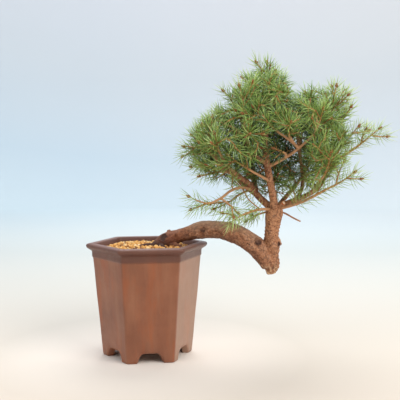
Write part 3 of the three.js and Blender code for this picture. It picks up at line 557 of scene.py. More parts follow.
def tube(route, distances, sides, radius_at):
    """Corners and faces of a round skin with closed ends. radius_at gives a radius at a distance and
    an angle."""
    rings = []
    for distance, (place, _, across, beside) in zip(distances, route.stations(distances)):
        rings.append([])
        for j in range(sides):
            angle = 2 * math.pi * j / sides
            radius = radius_at(distance, angle)
            rings[-1].append(place + radius * (math.cos(angle) * across + math.sin(angle) * beside))
    corners, faces = loft(rings)
    faces.append(list(range(sides))[::-1])
    faces.append(list(range(len(corners) - sides, len(corners))))
    return corners, faces


def thick_stem(points):
    """A stem whose radius follows its list of points, with low lobes."""
    route = Route([(x, 0, z) for x, z, _ in points])
    radii = [r for _, _, r in points]

    def radius_at(distance, angle):
        radius = float(np.interp(distance / route.length * (len(radii) - 1), range(len(radii)), radii))
        lobes = math.sin(3 * angle + 0.11 * distance) + 0.7 * math.sin(2 * angle - 0.19 * distance)
        return radius * (1 + 0.045 * lobes)

    return route, radius_at


def evenly(start, end, steps):
    """Numbers from start to end in equal steps."""
    return [start + (end - start) * k / steps for k in range(steps + 1)]


def taper(route, base, tip):
    """A radius that thins from a stem's base to its tip."""
    return lambda distance, angle=0.0: tip + (base - tip) * max(0.0, 1 - distance / route.length) ** 0.8


trunk_route, trunk_radius = thick_stem(TRUNK)
stem_route, stem_radius = thick_stem(STEM)
wood_shapes = [
    tube(trunk_route, evenly(0, trunk_route.length, 70), 24, trunk_radius),
    tube(stem_route, evenly(0, stem_route.length, 50), 24, stem_radius),
]
for points, radius in ROOTS:
    route = Route(points)
    wood_shapes.append(tube(route, evenly(0, route.length, 20), 12, taper(route, radius, 1.3)))
for points, radius in KNOTS:
    route = Route(points)
    wood_shapes.append(tube(route, evenly(0, route.length, 8), 14, taper(route, radius, 0.6 * radius)))


def bark_rise(along, across, up, flake):
    """How far bark stands out, from 0 in a crack to 1 on a flake, on the straightened stem."""
    place = Vector((0.5 * along, across, up)) / flake
    place += 0.4 * noise.noise_vector(place * 1.3)
    near, cells = noise.voronoi(place)
    edge = min(1.0, (near[1] - near[0]) / 0.22)
    return edge * (0.6 + 0.4 * noise.cell(cells[0] * 7.3)) if edge > 0 else 0.0


def mark_corners(piece, name, values):
    """Stores a number for each corner, for the finish to read."""
    piece.data.attributes.new(name, "FLOAT", "POINT").data.foreach_set("value", values)


# The overlapping stems are fused into one skin, and its corners are then moved for bark and scars.
FUSING_CELL = 0.62
FLAKE = 1.9
CRACK_DEPTH = 0.3
SWELL_HEIGHT = 0.5
STEM_FROM = 400  # the stem's lengths count on from here, the trunk's from 0
STEM_SQUASH = 2.4  # its flakes are this much shorter
rough = new_piece("rough_stem", *together(wood_shapes), [])
skin = rough.modifiers.new("skin", "REMESH")
skin.mode = "VOXEL"
skin.voxel_size = FUSING_CELL / 1000
soften = rough.modifiers.new("soften", "SMOOTH")
soften.iterations = 6
stem_mesh = bpy.data.meshes.new_from_object(rough.evaluated_get(bpy.context.evaluated_depsgraph_get()))
bpy.data.objects.remove(rough)
corners = np.zeros(3 * len(stem_mesh.vertices))
normals = np.zeros(3 * len(stem_mesh.vertices))
stem_mesh.vertices.foreach_get("co", corners)
stem_mesh.vertex_normals.foreach_get("vector", normals)
corners, normals = (corners.reshape(-1, 3) - POT_MIDDLE) * 1000, normals.reshape(-1, 3)

stations = []
for start, route, radius_at in ((0, trunk_route, trunk_radius), (STEM_FROM, stem_route, stem_radius)):
    distances = evenly(0, route.length, round(route.length))
    stations += [(*axes, start + distance, radius_at(distance, 0))
                 for distance, axes in zip(distances, route.stations(distances))]
middles, axes, sides_a, sides_b, alongs, radii = (np.array([s[k] for s in stations]) for k in range(6))
nearest = np.concatenate([
    (((part[:, None] - middles[None]) ** 2).sum(2) - radii[None] ** 2).argmin(1)
    for part in np.array_split(corners, 60)])
off = corners - middles[nearest]
along = alongs[nearest] + (off * axes[nearest]).sum(1)
across, above = (off * sides_a[nearest]).sum(1), (off * sides_b[nearest]).sum(1)


def part_way(value, start, end):
    """How far value is from start to end, from 0 to 1."""
    return min(1, max(0, (value - start) / (end - start)))


heights, tones_and_shade = np.zeros(len(corners)), np.zeros(len(corners))
for i, corner in enumerate(corners.tolist()):
    x, y, z = corner
    on_stem = alongs[nearest[i]] >= STEM_FROM
    rise = bark_rise((STEM_SQUASH if on_stem else 1) * along[i], across[i], above[i], FLAKE)
    straight = Vector((along[i], across[i], above[i]))
    swell = noise.noise(straight / 6) + 0.5 * noise.noise(straight / 2.6)
    folds = 0.0
    if on_stem and z < 150:
        folds = 0.3 * math.sin(1.5 * z + 3 * noise.noise(straight / 5)) * min(1, (152 - z) / 20)
    ragged = 1 + 0.35 * noise.noise(straight / 2.2)
    scar = max(1 - ragged * math.dist(corner, place) / size for place, size in SCARS)
    if scar > 0:
        folds += 0.8 * math.sin(min(1, 2.4 * scar) * math.pi) - 1.1 * max(0, scar - 0.35)
    heights[i] = rise
    # Painted shade where the trunk meets the soil.
    painted_shade_near_soil = part_way(z, 127, 118) * (0.3 + 0.7 * part_way(x, 28, 18)) * (x < 60)
    # Grey on upward faces: partly weathering and partly painted light on the top.
    weathered_and_lit_top = 0.9 * max(0, normals[i][2]) * part_way(x, 38, 54) * part_way(x, 128, 114)
    # Painted shade on the trunk's downward-facing underside.
    painted_shade_below = 0.6 * max(0, -normals[i][2]) * part_way(x, 132, 118)
    # The stored tone: the grey top less the strongest of the painted shade by the soil, the painted shade
    # below and the dark scars.
    tones_and_shade[i] = weathered_and_lit_top - max(painted_shade_near_soil, painted_shade_below, min(1, 2.6 * max(0, scar)))
    share = min(1.0, radii[nearest[i]] / 8)
    corners[i] += normals[i] * share * (CRACK_DEPTH * (rise - 0.6) + SWELL_HEIGHT * swell + folds)

stem_mesh.vertices.foreach_set("co", (corners / 1000 + POT_MIDDLE).ravel())
stem_mesh.polygons.foreach_set("use_smooth", [True] * len(stem_mesh.polygons))
stem_mesh.update()
trunk_piece = bpy.data.objects.new("barked_trunk", stem_mesh)
bpy.context.scene.collection.objects.link(trunk_piece)
mark_corners(trunk_piece, "bark_height", heights)
mark_corners(trunk_piece, "bark_tone_and_shade", tones_and_shade)

# Old bark is dark in its cracks, grey on its upper faces, partly from weather and partly as painted light,
# red at the left and tan on the stem; painted shade darkens its underside and where it meets the soil, and
# its scars are dark. The broken end is flecked with pale wood, and thin limbs are smooth and light.
bark, bark_shader = new_finish("flaking_bark", 0.85)
height, tone_and_shade, thinness = (add(bark, "Attribute", attribute_name=name).outputs["Fac"]
                          for name in ("bark_height", "bark_tone_and_shade", "thinness"))
bark_colour = ramp(bark, height, [
    (0.0, (70, 43, 32)), (0.22, (136, 92, 66)), (0.6, (166, 116, 84)), (1.0, (184, 136, 102))])
for size, detail, start, full, most, shade in (
        (8, 4, 0.42, 0.7, 0.5, (166, 104, 68)), (3.5, 4, 0.5, 0.72, 0.65, (88, 60, 48)),
        (5, 5, 0.54, 0.66, 0.4, (190, 150, 124)), (2.6, 5, 0.57, 0.66, 0.55, (62, 38, 29))):
    patches = fade(bark, grain(bark, size, detail), start, full, most=most)
    bark_colour = tint(bark, bark_colour, patches, shade)
# Grey where the tone is positive: weathering with painted light on upward faces.
bark_colour = tint(bark, bark_colour, fade(bark, tone_and_shade, 0, 1, most=0.62), (172, 146, 124))
place = add(bark, "SeparateXYZ", {"Vector": own_place(bark)}).outputs
red = times(bark, fade(bark, place["X"], -0.052, -0.078, most=0.5), fade(bark, place["Z"], 0.15, 0.14))
bark_colour = tint(bark, bark_colour, red, (116, 60, 46))
by_stem = fade(bark, place["X"], 0.014, 0.026)
tan = times(bark, by_stem, fade(bark, place["Z"], 0.096, 0.13, 0.1, 0.5))
bark_colour = tint(bark, bark_colour, times(bark, tan, fade(bark, height, 0.1, 0.5)), (196, 143, 104))
at_end = times(bark, by_stem, fade(bark, place["Z"], 0.099, 0.089, most=0.9))
flecks = times(bark, at_end, fade(bark, grain(bark, 2.2, 4), 0.48, 0.6))
bark_colour = tint(bark, bark_colour, flecks, (222, 186, 146))
# Dark where the tone is negative: painted shade under the trunk and by the soil, and the dark scars.
bark_colour = tint(bark, bark_colour, fade(bark, tone_and_shade, 0, -1, most=0.94), (58, 34, 27))
bark_colour = tint(bark, bark_colour, fade(bark, thinness, 0, 1, most=0.72), (204, 158, 116))
join(bark, bark_colour, bark_shader, "Base Color")
relief(bark, bark_shader, grain(bark, 0.6, 5, roughness=0.7), 0.22)
stem_mesh.materials.clear()
stem_mesh.materials.append(bark)
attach(trunk_piece, "root")
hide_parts("trunk")

# The limbs.
# Branches that grow from the stem and from each other, barked at their bases and thin, tan and
# smooth further out. Each is a route, with its radius at the base and the length that stays bare.
ALL_BARE = 1000
LIMBS = [
    ("leader", None, 4.3, 116, [(134, -6, 157), (132, -10, 170), (128, -14, 188), (125, -16, 204),
     (124, -10, 224), (126, 0, 250), (128, 4, 271), (127, 4, 290), (126, 0, 308)]),
    ("left_limb", None, 4, 84, [(131, 0, 156), (117, 0, 169), (108, -4, 181), (97, -9, 189), (84, -10, 197),
     (71, -10, 210), (59, -8, 218), (39, -4, 221)]),
    ("left_riser", "left_limb", 3, 88, [(115, 0, 171), (114, 10, 185), (112, 20, 203), (109, 27, 222),
     (103, 29, 242), (97, 27, 262), (94, 22, 281)]),
    ("right_limb", None, 3, 112, [(136, 0, 155), (149, 2, 161), (160, 4, 165), (174, 7, 171), (184, 8, 179),
     (190, 7, 191), (196, 2, 211), (195, -4, 229), (193, -8, 250), (194, -10, 268), (197, -10, 284)]),
    ("right_far", "right_limb", 2.2, 38, [(185, 8, 182), (194, 10, 197), (207, 10, 209), (225, 8, 222),
     (240, 4, 235), (246, 3, 240)]),
    ("right_low", None, 2, 38, [(138, -3, 155), (157, -10, 161), (170, -14, 167), (185, -19, 176),
     (202, -20, 185), (216, -18, 195)]),
    ("left_arch", "left_limb", 1.8, 52, [(112, -2, 174), (99, -10, 178), (88, -16, 175), (78, -22, 168),
     (66, -27, 163), (55, -28, 165), (44, -26, 170)]),
    ("arch_side", "left_arch", 1.2, 9, [(77, -22, 168), (84, -28, 163), (90, -32, 158), (95, -34, 153)]),
    ("under_left", "left_limb", 1.4, 24, [(110, 0, 176), (99, 8, 170), (89, 14, 162), (80, 16, 157),
     (70, 16, 153)]),
    ("left_droop", None, 1.7, 15, [(131, -4, 155), (117, -12, 155), (105, -18, 152), (95, -24, 148),
     (86, -28, 142)]),
    ("centre_left", "leader", 2.1, 50, [(126, -15, 202), (113, -21, 212), (105, -28, 224), (101, -35, 240),
     (100, -38, 260), (95, -35, 282)]),
    ("tan_twig", "leader", 1.5, 28, [(129, -12, 184), (119, -22, 190), (108, -29, 196), (95, -36, 204),
     (84, -42, 212)]),
    ("front_twig", "leader", 1.9, ALL_BARE, [(126, -16, 200), (136, -20, 205), (147, -26, 212),
     (158, -32, 221), (167, -36, 230), (174, -38, 241)]),
    ("front_branch", "front_twig", 1.5, 28, [(156, -31, 219), (146, -37, 227), (132, -43, 236),
     (118, -47, 247), (108, -48, 260)]),
    ("low_twig", None, 1, ALL_BARE, [(138, 0, 152), (146, 2, 150), (155, 2, 145), (163, 4, 141)]),
    ("back_twig", None, 1.2, 11, [(130, 4, 152), (120, 13, 148), (112, 19, 143), (106, 22, 139)]),
    ("right_riser", "right_limb", 2.2, 72, [(160, 4, 165), (166, 12, 180), (165, 16, 200), (162, 15, 224),
     (162, 12, 246), (164, 8, 268)]),
    ("back_left", "left_limb", 2.8, 52, [(117, 0, 168), (104, 18, 178), (92, 34, 190), (80, 48, 205),
     (70, 57, 222)]),
    ("back_middle", None, 3, 56, [(134, 3, 156), (133, 18, 172), (130, 36, 190), (129, 51, 210),
     (127, 60, 232)]),
    ("back_right", None, 2.8, 58, [(137, 2, 155), (150, 16, 168), (163, 32, 180), (176, 47, 196),
     (186, 57, 216)]),
    ("back_top", "leader", 2, 28, [(125, -3, 240), (129, 14, 250), (134, 30, 262), (138, 40, 278)]),
    ("front_right", "right_limb", 1.8, 36, [(172, 7, 170), (178, -10, 181), (184, -30, 196),
     (186, -45, 216)]),
    ("front_left", "left_limb", 1.8, 36, [(95, -9, 190), (86, -22, 200), (76, -38, 214), (70, -48, 234)]),
    ("front_top", "leader", 1.8, 26, [(126, 0, 250), (128, -14, 260), (132, -29, 268), (134, -38, 280)]),
]
CROWN_MIDDLE = np.array([128.0, 0, 227])
CROWN_DEPTH = 84
CROWN_OUTLINE = [
    (0, 100), (20, 94), (45, 90), (62, 68), (90, 92), (115, 79), (140, 75), (160, 83),
    (185, 98), (205, 92), (225, 80), (250, 75), (285, 72), (320, 85), (345, 96), (360, 100),
]
NEEDLE_REACH = 13
shown_tips = [np.array(tip, float) for tip in [
    (108, 6, 292), (79, 26, 259), (65, 4, 250), (59, -22, 243), (47, 12, 233), (46, 12, 199),
    (55, -22, 190), (167, -8, 264), (209, 2, 260), (220, -14, 242), (198, -32, 210), (141, 6, 289)]]
TWIG_RADIUS = 0.95
GOLDEN_ANGLE = math.pi * (3 - math.sqrt(5))
TIPS_APART = 31
LOWEST_TIP = 166
DIRECTIONS = 62
MOST_SPRAYS = 55
BASES_APART = 6
SHORTEST_BRANCH = 22
SHOOT_LEAN = math.radians(50)
LONGEST_SHOOT = 30
WHORLS_APART = 6.5
SHOOTS_APART = 12


def crown_share(point):
    """How far out a point is: 1 where a shoot may end, a needle's reach inside the crown's outline."""
    x, y, z = point - CROWN_MIDDLE
    angle = math.degrees(math.atan2(z, x)) % 360
    radius = float(np.interp(angle, [a for a, _ in CROWN_OUTLINE], [r for _, r in CROWN_OUTLINE]))
    return math.hypot(math.hypot(x, z) / (radius - NEEDLE_REACH), y / (CROWN_DEPTH - NEEDLE_REACH))


def in_window(point):
    """The front below the middle stays open, so that the limbs show there."""
    return point[1] < -10 and point[2] < 208 and 90 < point[0] < 170


class Placed:
    """Everything that has grown so far, as straight pieces, each with a radius and an owner."""

    LONGEST = 7

    def __init__(self):
        self.start, self.end, self.radius, self.owner = [], [], [], []
        self.table = None

    def put(self, route, start, end, radius_at, owner):
        """Adds the part of a route from start to end."""
        steps = max(2, math.ceil((end - start) / self.LONGEST))
        distances = evenly(start, end, steps)
        places = [route.place(d) for d in distances]
        for k in range(steps):
            self.start.append(places[k])
            self.end.append(places[k + 1])
            self.radius.append(radius_at(distances[k]))
            self.owner.append(owner)
        self.table = None

    def arrays(self):
        """Starts, spans, radii and owners of all pieces."""
        if self.table is None:
            self.table = (np.array(self.start), np.array(self.end) - np.array(self.start),
                          np.array(self.radius), np.array(self.owner))
        return self.table

    def distances(self, points):
        """From every point to every piece's middle line."""
        start, span, _, _ = self.arrays()
        away = points[:, None, :] - start[None]
        share = np.clip((away * span).sum(2) / (span * span).sum(1), 0, 1)
        return np.linalg.norm(away - share[..., None] * span, axis=2)

    def is_clear(self, start, end, radius, spacing, owner):
        """Whether a straight twig keeps its spacing from every piece that isn't its owner's."""
        steps = max(1, math.ceil(np.linalg.norm(end - start) / 2))
        points = np.array([start + (end - start) * k / steps for k in range(steps + 1)])
        _, _, radii, owners = self.arrays()
        return not ((self.distances(points) < radius + radii + spacing) & (owners != owner)).any()


placed = Placed()


class Branch:
    """Wood from its base to the end of its bare length, and a leafy twig from there on."""

    def __init__(self, name, points, base, bare):
        self.name = name
        self.route = Route(points)
        self.bare = min(bare, self.route.length)
        self.leafy = self.bare < self.route.length
        self.radius_at = taper(self.route, base, 0.6 if self.leafy else 0.8)
        self.shoots = []

    def settle(self):
        """Takes its place among what has grown."""
        placed.put(self.route, 0, self.bare, self.radius_at, "wood")
        if self.leafy:
            placed.put(self.route, self.bare, self.route.length, self.radius_at, self.name)

    def is_clear(self):
        """Whether it keeps clear of every leafy twig and, where it is leafy, of the wood."""
        distances = np.array(evenly(4, self.route.length, math.ceil(self.route.length / 4)))
        away = placed.distances(np.array([self.route.place(d) for d in distances]))
        _, _, radii, owners = placed.arrays()
        wood = owners == "wood"
        leafy = (distances - self.bare)[:, None]
        spacing = np.where(wood, np.minimum(5, 0.7 + 0.4 * leafy), 5)
        return not (((~wood) | (leafy > -1)) & (away <= radii + TWIG_RADIUS + spacing)).any()


limbs = []
for name, on, radius, bare, points in LIMBS:
    parent = next((limb for limb in limbs if limb.name == on), None)
    if parent:
        seats = [parent.route.place(parent.route.length * k / 120) for k in range(121)]
        points = [min(seats, key=lambda seat: np.linalg.norm(seat - points[0])), *points[1:]]
    limbs.append(Branch(name, points, radius, bare))
placed.put(trunk_route, 0, trunk_route.length, lambda d: trunk_radius(d, 0), "wood")
placed.put(stem_route, 0, stem_route.length, lambda d: stem_radius(d, 0), "wood")
for limb in limbs:
    limb.settle()


def grow_to(tip, name):
    """A side branch from the nearest bare wood that it can grow forward from, clear of the rest. It
    leaves the limb leaning along it and bends out."""
    bases = []
    for limb in limbs:
        distance = 0.3 * limb.bare
        while distance < limb.bare - 3:
            base, along = limb.route.place(distance), limb.route.along(distance)
            span = float(np.linalg.norm(tip - base))
            forward = float((tip - base) @ along) / span
            bases.append((span * (1.5 - 0.5 * forward), len(bases), base, along, forward, span))
            distance += BASES_APART
    for _, _, base, along, forward, span in sorted(bases, key=lambda b: b[:2]):
        if forward > 0 and span > SHORTEST_BRANCH:
            bow = along * span - (tip - base)
            near = base + (tip - base) * 0.35 + bow * 0.16
            far = base + (tip - base) * 0.72 + bow * 0.1
            branch = Branch(name, [base, near, far, tip], 1.1 + 0.012 * span, max(9, 0.5 * span - 8))
            if branch.is_clear():
                return branch
    return None


def fill_tips():
    """Tips spread evenly over the crown, a spiral of directions, where no tip is near yet."""
    tips = [limb.route.at(1) for limb in limbs if limb.leafy] + shown_tips
    found = []
    for share in (1, 0.62):
        for k in range(DIRECTIONS):
            rise = 1 - (2 * k + 1) / DIRECTIONS
            level = math.sqrt(1 - rise * rise)
            out = np.array([level * math.cos(k * GOLDEN_ANGLE), level * math.sin(k * GOLDEN_ANGLE), rise])
            tip = CROWN_MIDDLE + out * share / crown_share(CROWN_MIDDLE + out)
            alone = all(np.linalg.norm(other - tip) > TIPS_APART for other in tips)
            if tip[2] > LOWEST_TIP and not in_window(tip) and alone:
                tips.append(tip)
                found.append(tip)
    return found


sprays = [limb for limb in limbs if limb.leafy]
for tip in shown_tips + fill_tips():
    branch = grow_to(tip, f"spray_{len(sprays) + 1}") if len(sprays) < MOST_SPRAYS else None
    if branch:
        sprays.append(branch)
        branch.settle()


def seeded(seed):
    """Draws from 0 to 1 that come out the same as the model's."""
    while True:
        seed = seed * 16807 % 2147483647
        yield seed / 2147483647


# Shoots leave each spray between its whorls of needles, turned by the golden angle from one to the next.
chance = seeded(41)
for spray in sprays:
    route, bare = spray.route, spray.bare
    last = route.length - 1.4
    whorls = evenly(bare + 5, last, max(1, round((last - bare - 5) / WHORLS_APART)))
    count = max(1, math.floor((route.length - bare - 8) / SHOOTS_APART))
    angle = 2 * math.pi * next(chance)
    for k in range(count):
        between = min(len(whorls) - 2, math.floor((k + 0.3) * (len(whorls) - 1) / count))
        distance = (whorls[between] + whorls[between + 1]) / 2
        base, along, across, beside = route.stations([distance])[0]
        full = min(LONGEST_SHOOT, 10 + 0.5 * (route.length - distance)) * (0.85 + 0.3 * next(chance))
        for attempt in range(9):
            length = full * (1 - 0.25 * (attempt % 3))
            out = across * math.cos(angle) + beside * math.sin(angle)
            heading = along * math.cos(SHOOT_LEAN) + out * math.sin(SHOOT_LEAN)
            end = base + heading * length + along * 0.12 * length
            within = crown_share(end) < 1 or np.linalg.norm(end - route.at(1)) < 18
            open_way = within and not in_window(end)
            if open_way and placed.is_clear(base + heading * 4, end, TWIG_RADIUS, 4, spray.name):
                shoot = Route([base, base + heading * 0.55 * length, end])
                spray.shoots.append(shoot)
                placed.put(shoot, 0, shoot.length, lambda d: 0.7, spray.name)
                break
            if attempt % 3 == 2:
                angle += 1.2
        angle += GOLDEN_ANGLE

LIMB_FLAKE = 1.3
BARK_APART = 1000  # so that no two limbs have the same flakes
limb_shapes, limb_heights, limb_thinness = [], [], []
for branch in limbs + [spray for spray in sprays if spray not in limbs]:
    end = branch.bare + (4 if branch.leafy else 0)
    step, sides = (0.9, 14) if branch.radius_at(0) > 2 else (1.3, 9)

    def barked(distance, angle, branch=branch):
        radius = branch.radius_at(distance)
        along = distance + BARK_APART * branch.radius_at(0)
        along, across, up = Vector((along, radius * math.cos(angle), radius * math.sin(angle)))
        rise = bark_rise(along, across, up, LIMB_FLAKE)
        limb_heights.append(rise)
        limb_thinness.append(0 if branch.name == "low_twig" else min(1, max(0, (2.9 - radius) / 1.7)))
        swell = noise.noise(Vector((along / 6, across / 2.5, up / 2.5)))
        return radius * (1 + 0.07 * swell) + min(0.2, 0.06 * radius) * (rise - 0.5)

    limb_shapes.append(tube(branch.route, evenly(0, end, round(end / step)), sides, barked))
limbs_piece = new_piece("barked_limbs", *together(limb_shapes), [bark])
mark_corners(limbs_piece, "bark_height", limb_heights)
mark_corners(limbs_piece, "thinness", limb_thinness)
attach(limbs_piece, "root")
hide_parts("trunk")

# The cut stub.
# What is left of a branch that was sawn off beside the fork, long ago: pale dry wood, with a ring of
# orange healing bark that has rolled in over its edge.
STUB_SIDES = 16
stub_at, stub_along = np.array([143.0, -13, 162]), np.array([0.6, -0.65, 0.48])
stub_along /= np.linalg.norm(stub_along)
stub_across = np.cross(stub_along, [0, 0, 1])
stub_across /= np.linalg.norm(stub_across)
stub_beside = np.cross(stub_along, stub_across)
stub_rings = []
for radius, rise in ((2.0, -1.2), (2.5, -0.2), (2.3, 0.5), (1.8, 0.6), (1.7, 0.35), (1.0, 0.3), (0.05, 0.3)):
    stub_rings.append([
        stub_at + rise * stub_along + radius * (1 + 0.08 * math.cos(3 * j)) * (
            math.cos(j * math.pi / 8) * stub_across + math.sin(j * math.pi / 8) * stub_beside)
        for j in range(STUB_SIDES)])
healing, _ = clouded("healing_bark", 0.8, 0.8, 3, [(0.35, (150, 82, 44)), (0.7, (198, 124, 74))])
dry_wood, _ = clouded("dry_wood", 0.8, 0.7, 3, [(0.35, (196, 168, 138)), (0.7, (226, 206, 184))])
stub = new_piece("cut_stub", *loft(stub_rings), [healing, dry_wood])
stub.data.polygons.foreach_set(
    "material_index", [int(k >= 4 * STUB_SIDES) for k in range(len(stub.data.polygons))])
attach(stub, "root")

# The leafy twigs.
# Last year's growth: thin tan twigs rough with the pegs that needles stand on. Side shoots leave them
# all round, and thinner ones fill the bare places further in, so that the crown closes.
draw = random.Random(11)
NEEDLES_FROM = {"right_low": 17, "left_droop": 10, "under_left": 14}
LUSH = ("right_limb", "left_droop", "under_left", "arch_side", "left_arch")
TWIGS_APART, LUSH_TWIGS_APART = 8, 5.5
LONGEST_TWIG = 18


def add_twig(spray, points, base, first=0.0):
    """A twig on a spray. Its needles start at first."""
    route = Route(points)
    spray.twigs.append((route, 0.0, route.length, base, first))
    placed.put(route, 0, route.length, lambda d: 0.5, spray.name)
    return spray.twigs[-1]


for spray in sprays:
    first = NEEDLES_FROM.get(spray.name, spray.bare + 3)
    spray.twigs = [(spray.route, spray.bare + 2, spray.route.length, spray.radius_at(spray.bare), first)]
    spray.twigs += [(shoot, 0.0, shoot.length, TWIG_RADIUS, 2.0) for shoot in spray.shoots]
    for route, start, end, _, _ in list(spray.twigs):
        distance = start + 4
        angle = draw.uniform(0, 6.28)
        while distance < end - 5:
            base, along, across, beside = route.stations([distance])[0]
            full = min(LONGEST_TWIG, 7 + 0.45 * (end - distance)) * draw.uniform(0.8, 1.15)
            for attempt in range(6):
                length = full * (1 - 0.2 * (attempt % 3))
                out = across * math.cos(angle) + beside * math.sin(angle)
                heading = along * 0.68 + out * 0.73
                tip = base + heading * length + along * 0.1 * length
                open_way = crown_share(tip) < 1 and not in_window(tip)
                if open_way and placed.is_clear(base + heading * 3.5, tip, 0.5, 2.0, spray.name):
                    add_twig(spray, [base, base + heading * 0.55 * length, tip], 0.7)
                    break
                if attempt == 2:
                    angle += 1.4
            distance += LUSH_TWIGS_APART if spray.name in LUSH else TWIGS_APART
            angle += GOLDEN_ANGLE


# The brush-like top of the limb at the right has side shoots of its own.
SIDE_SHOOTS = {"right_limb": [
    (209, -6, 268), (207, -15, 255), (204, -20, 274), (186, -18, 266), (184, 0, 276), (208, 2, 280),
    (180, -16, 250)]}
for spray in sprays:
    for tip in SIDE_SHOOTS.get(spray.name, []):
        distance = spray.bare + 0.72 * (spray.route.length - spray.bare) * (tip[2] - 236) / 48
        base, along, across, beside = spray.route.stations([distance])[0]
        add_twig(spray, [base, base + 0.5 * (np.array(tip) - base) - 1.5 * along, np.array(tip, float)], 0.8)


def in_dark_gap(point):
    """The hollow behind the front twigs, where the leader shows and little grows."""
    x, y, z = point
    return in_window(point) or (y < 6 and 116 < x < 164 and 190 < z < 242) or z < 158


def sampled(spray, twig, first, step=4.0):
    """Places along a twig, each with its direction and its spray."""
    route, _, end, _, _ = twig
    distances = np.arange(first, end - 0.5, step)
    return [(place, along, spray) for place, along, _, _ in route.stations(distances)]


# Thin twigs fill the crown wherever a point drawn inside it has too much room round it. Each grows
# from the place that reaches it best, leaning forward.
FILLING_TRIES = 9000
leafy, hosts = [], []
for spray in sprays:
    for twig in spray.twigs:
        leafy += sampled(spray, twig, twig[4])
    bare_length = (spray.route, 0, spray.bare, 1, 0)
    hosts += sampled(spray, bare_length, 0.4 * spray.bare, 5.0)
bare_hosts = len(hosts)
hosts += leafy
leafy_places = np.array([place for place, _, _ in leafy])
host_places = np.array([place for place, _, _ in hosts])
host_alongs = np.array([along for _, along, _ in hosts])
for _ in range(FILLING_TRIES):
    point = CROWN_MIDDLE + np.array([draw.uniform(-92, 92), draw.uniform(-75, 75), draw.uniform(-78, 86)])
    share = crown_share(point)
    room = 8.0 if share > 0.6 else 10.5
    if point[0] < 104:
        room += 2.5
    elif 130 < point[0] < 192 and point[1] > -5 and 172 < point[2] < 255:
        room = 7.5
    if share > 0.98 or in_dark_gap(point) or np.linalg.norm(leafy_places - point, axis=1).min() < room:
        continue
    out = point - host_places
    span = np.linalg.norm(out, axis=1) + 1e-9
    forward = (out * host_alongs).sum(1) / span
    cost = span * (1.4 - 0.4 * forward) + 1000 * ((forward < 0.1) | (span < 7) | (span > 36))
    for k in np.argsort(cost)[:5]:
        place, along, spray = hosts[k]
        if cost[k] < 900 and placed.is_clear(place + 0.3 * out[k], point, 0.5, 1.0, spray.name):
            middle = place + 0.5 * out[k] + 0.14 * span[k] * along
            twig = add_twig(spray, [place, middle, point], 0.75, 0.3 * span[k] if k < bare_hosts else 1)
            found = sampled(spray, twig, 2.0)
            hosts += found
            host_places = np.concatenate([host_places, [p for p, _, _ in found]])
            host_alongs = np.concatenate([host_alongs, [a for _, a, _ in found]])
            leafy_places = np.concatenate([leafy_places, [p for p, _, _ in found]])
            break


def pegged(start, end, base):
    """The radius of a twig with pegs, thinning to its tip."""
    def radius_at(distance, angle):
        share = (distance - start) / max(1e-6, end - start)
        peg = noise.noise(Vector((distance * 1.1, math.cos(angle) * 2, math.sin(angle) * 2 + base * 40)))
        return (base + (0.5 - base) * share) * (1 + 0.16 * peg)
    return radius_at


twig_shapes = [tube(route, evenly(start, end, max(3, round((end - start) / 2))), 6, pegged(start, end, base))
               for spray in sprays for route, start, end, base, _ in spray.twigs]
twig_bark, twig_shader = clouded("twig_bark", 0.7, 2.2, 4, [
    (0.3, (150, 100, 58)), (0.55, (196, 146, 92)), (0.8, (218, 178, 124))])
relief(twig_bark, twig_shader, grain(twig_bark, 0.6, 3), 0.15)
twigs_piece = new_piece("leafy_twigs", *together(twig_shapes), [twig_bark])
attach(twigs_piece, "root")

# The buds.
# Small pointed buds wrapped in orange-brown scales, one at the tip of each twig, with three more
# round it on the strong ones.
STRONG_BUD, SIDE_BUD, WEAK_BUD = 1.2, 0.85, 0.65


def bud(place, along, size):
    """A bud's corners and faces, seven-sided and widest below its middle."""
    across = np.cross(along, [0.31, 0.72, 0.62])
    across /= np.linalg.norm(across)
    beside = np.cross(along, across)
    rings = []
    for share, width in ((0, 0.5), (0.2, 0.95), (0.45, 1.0), (0.75, 0.6), (1, 0.1)):
        middle = place + along * size * (3 * share - 0.6)
        rings.append([
            middle + width * size * (1 + 0.12 * math.cos(3 * j + 9 * share)) * (
                math.cos(j * math.pi / 3.5) * across + math.sin(j * math.pi / 3.5) * beside)
            for j in range(7)])
    corners, faces = loft(rings)
    return corners, faces + [list(range(7))[::-1], list(range(28, 35))]


buds = []
for spray in sprays:
    for number, (route, _, end, _, _) in enumerate(spray.twigs):
        strong = number <= len(spray.shoots)
        place, along, across, beside = route.stations([end])[0]
        buds.append(bud(place, along, STRONG_BUD if strong else WEAK_BUD))
        for turn in (0.4, 2.5, 4.6) if strong else ():
            away = math.cos(turn) * across + math.sin(turn) * beside
            buds.append(bud(place - 1.4 * along + 0.5 * away, 0.75 * along + 0.66 * away, SIDE_BUD))
bud_scales, _ = clouded("bud_scales", 0.6, 0.9, 3, [
    (0.3, (128, 76, 44)), (0.6, (172, 112, 68)), (0.8, (200, 150, 102))])
buds_piece = new_piece("buds", *together(buds), [bud_scales])
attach(buds_piece, "root")

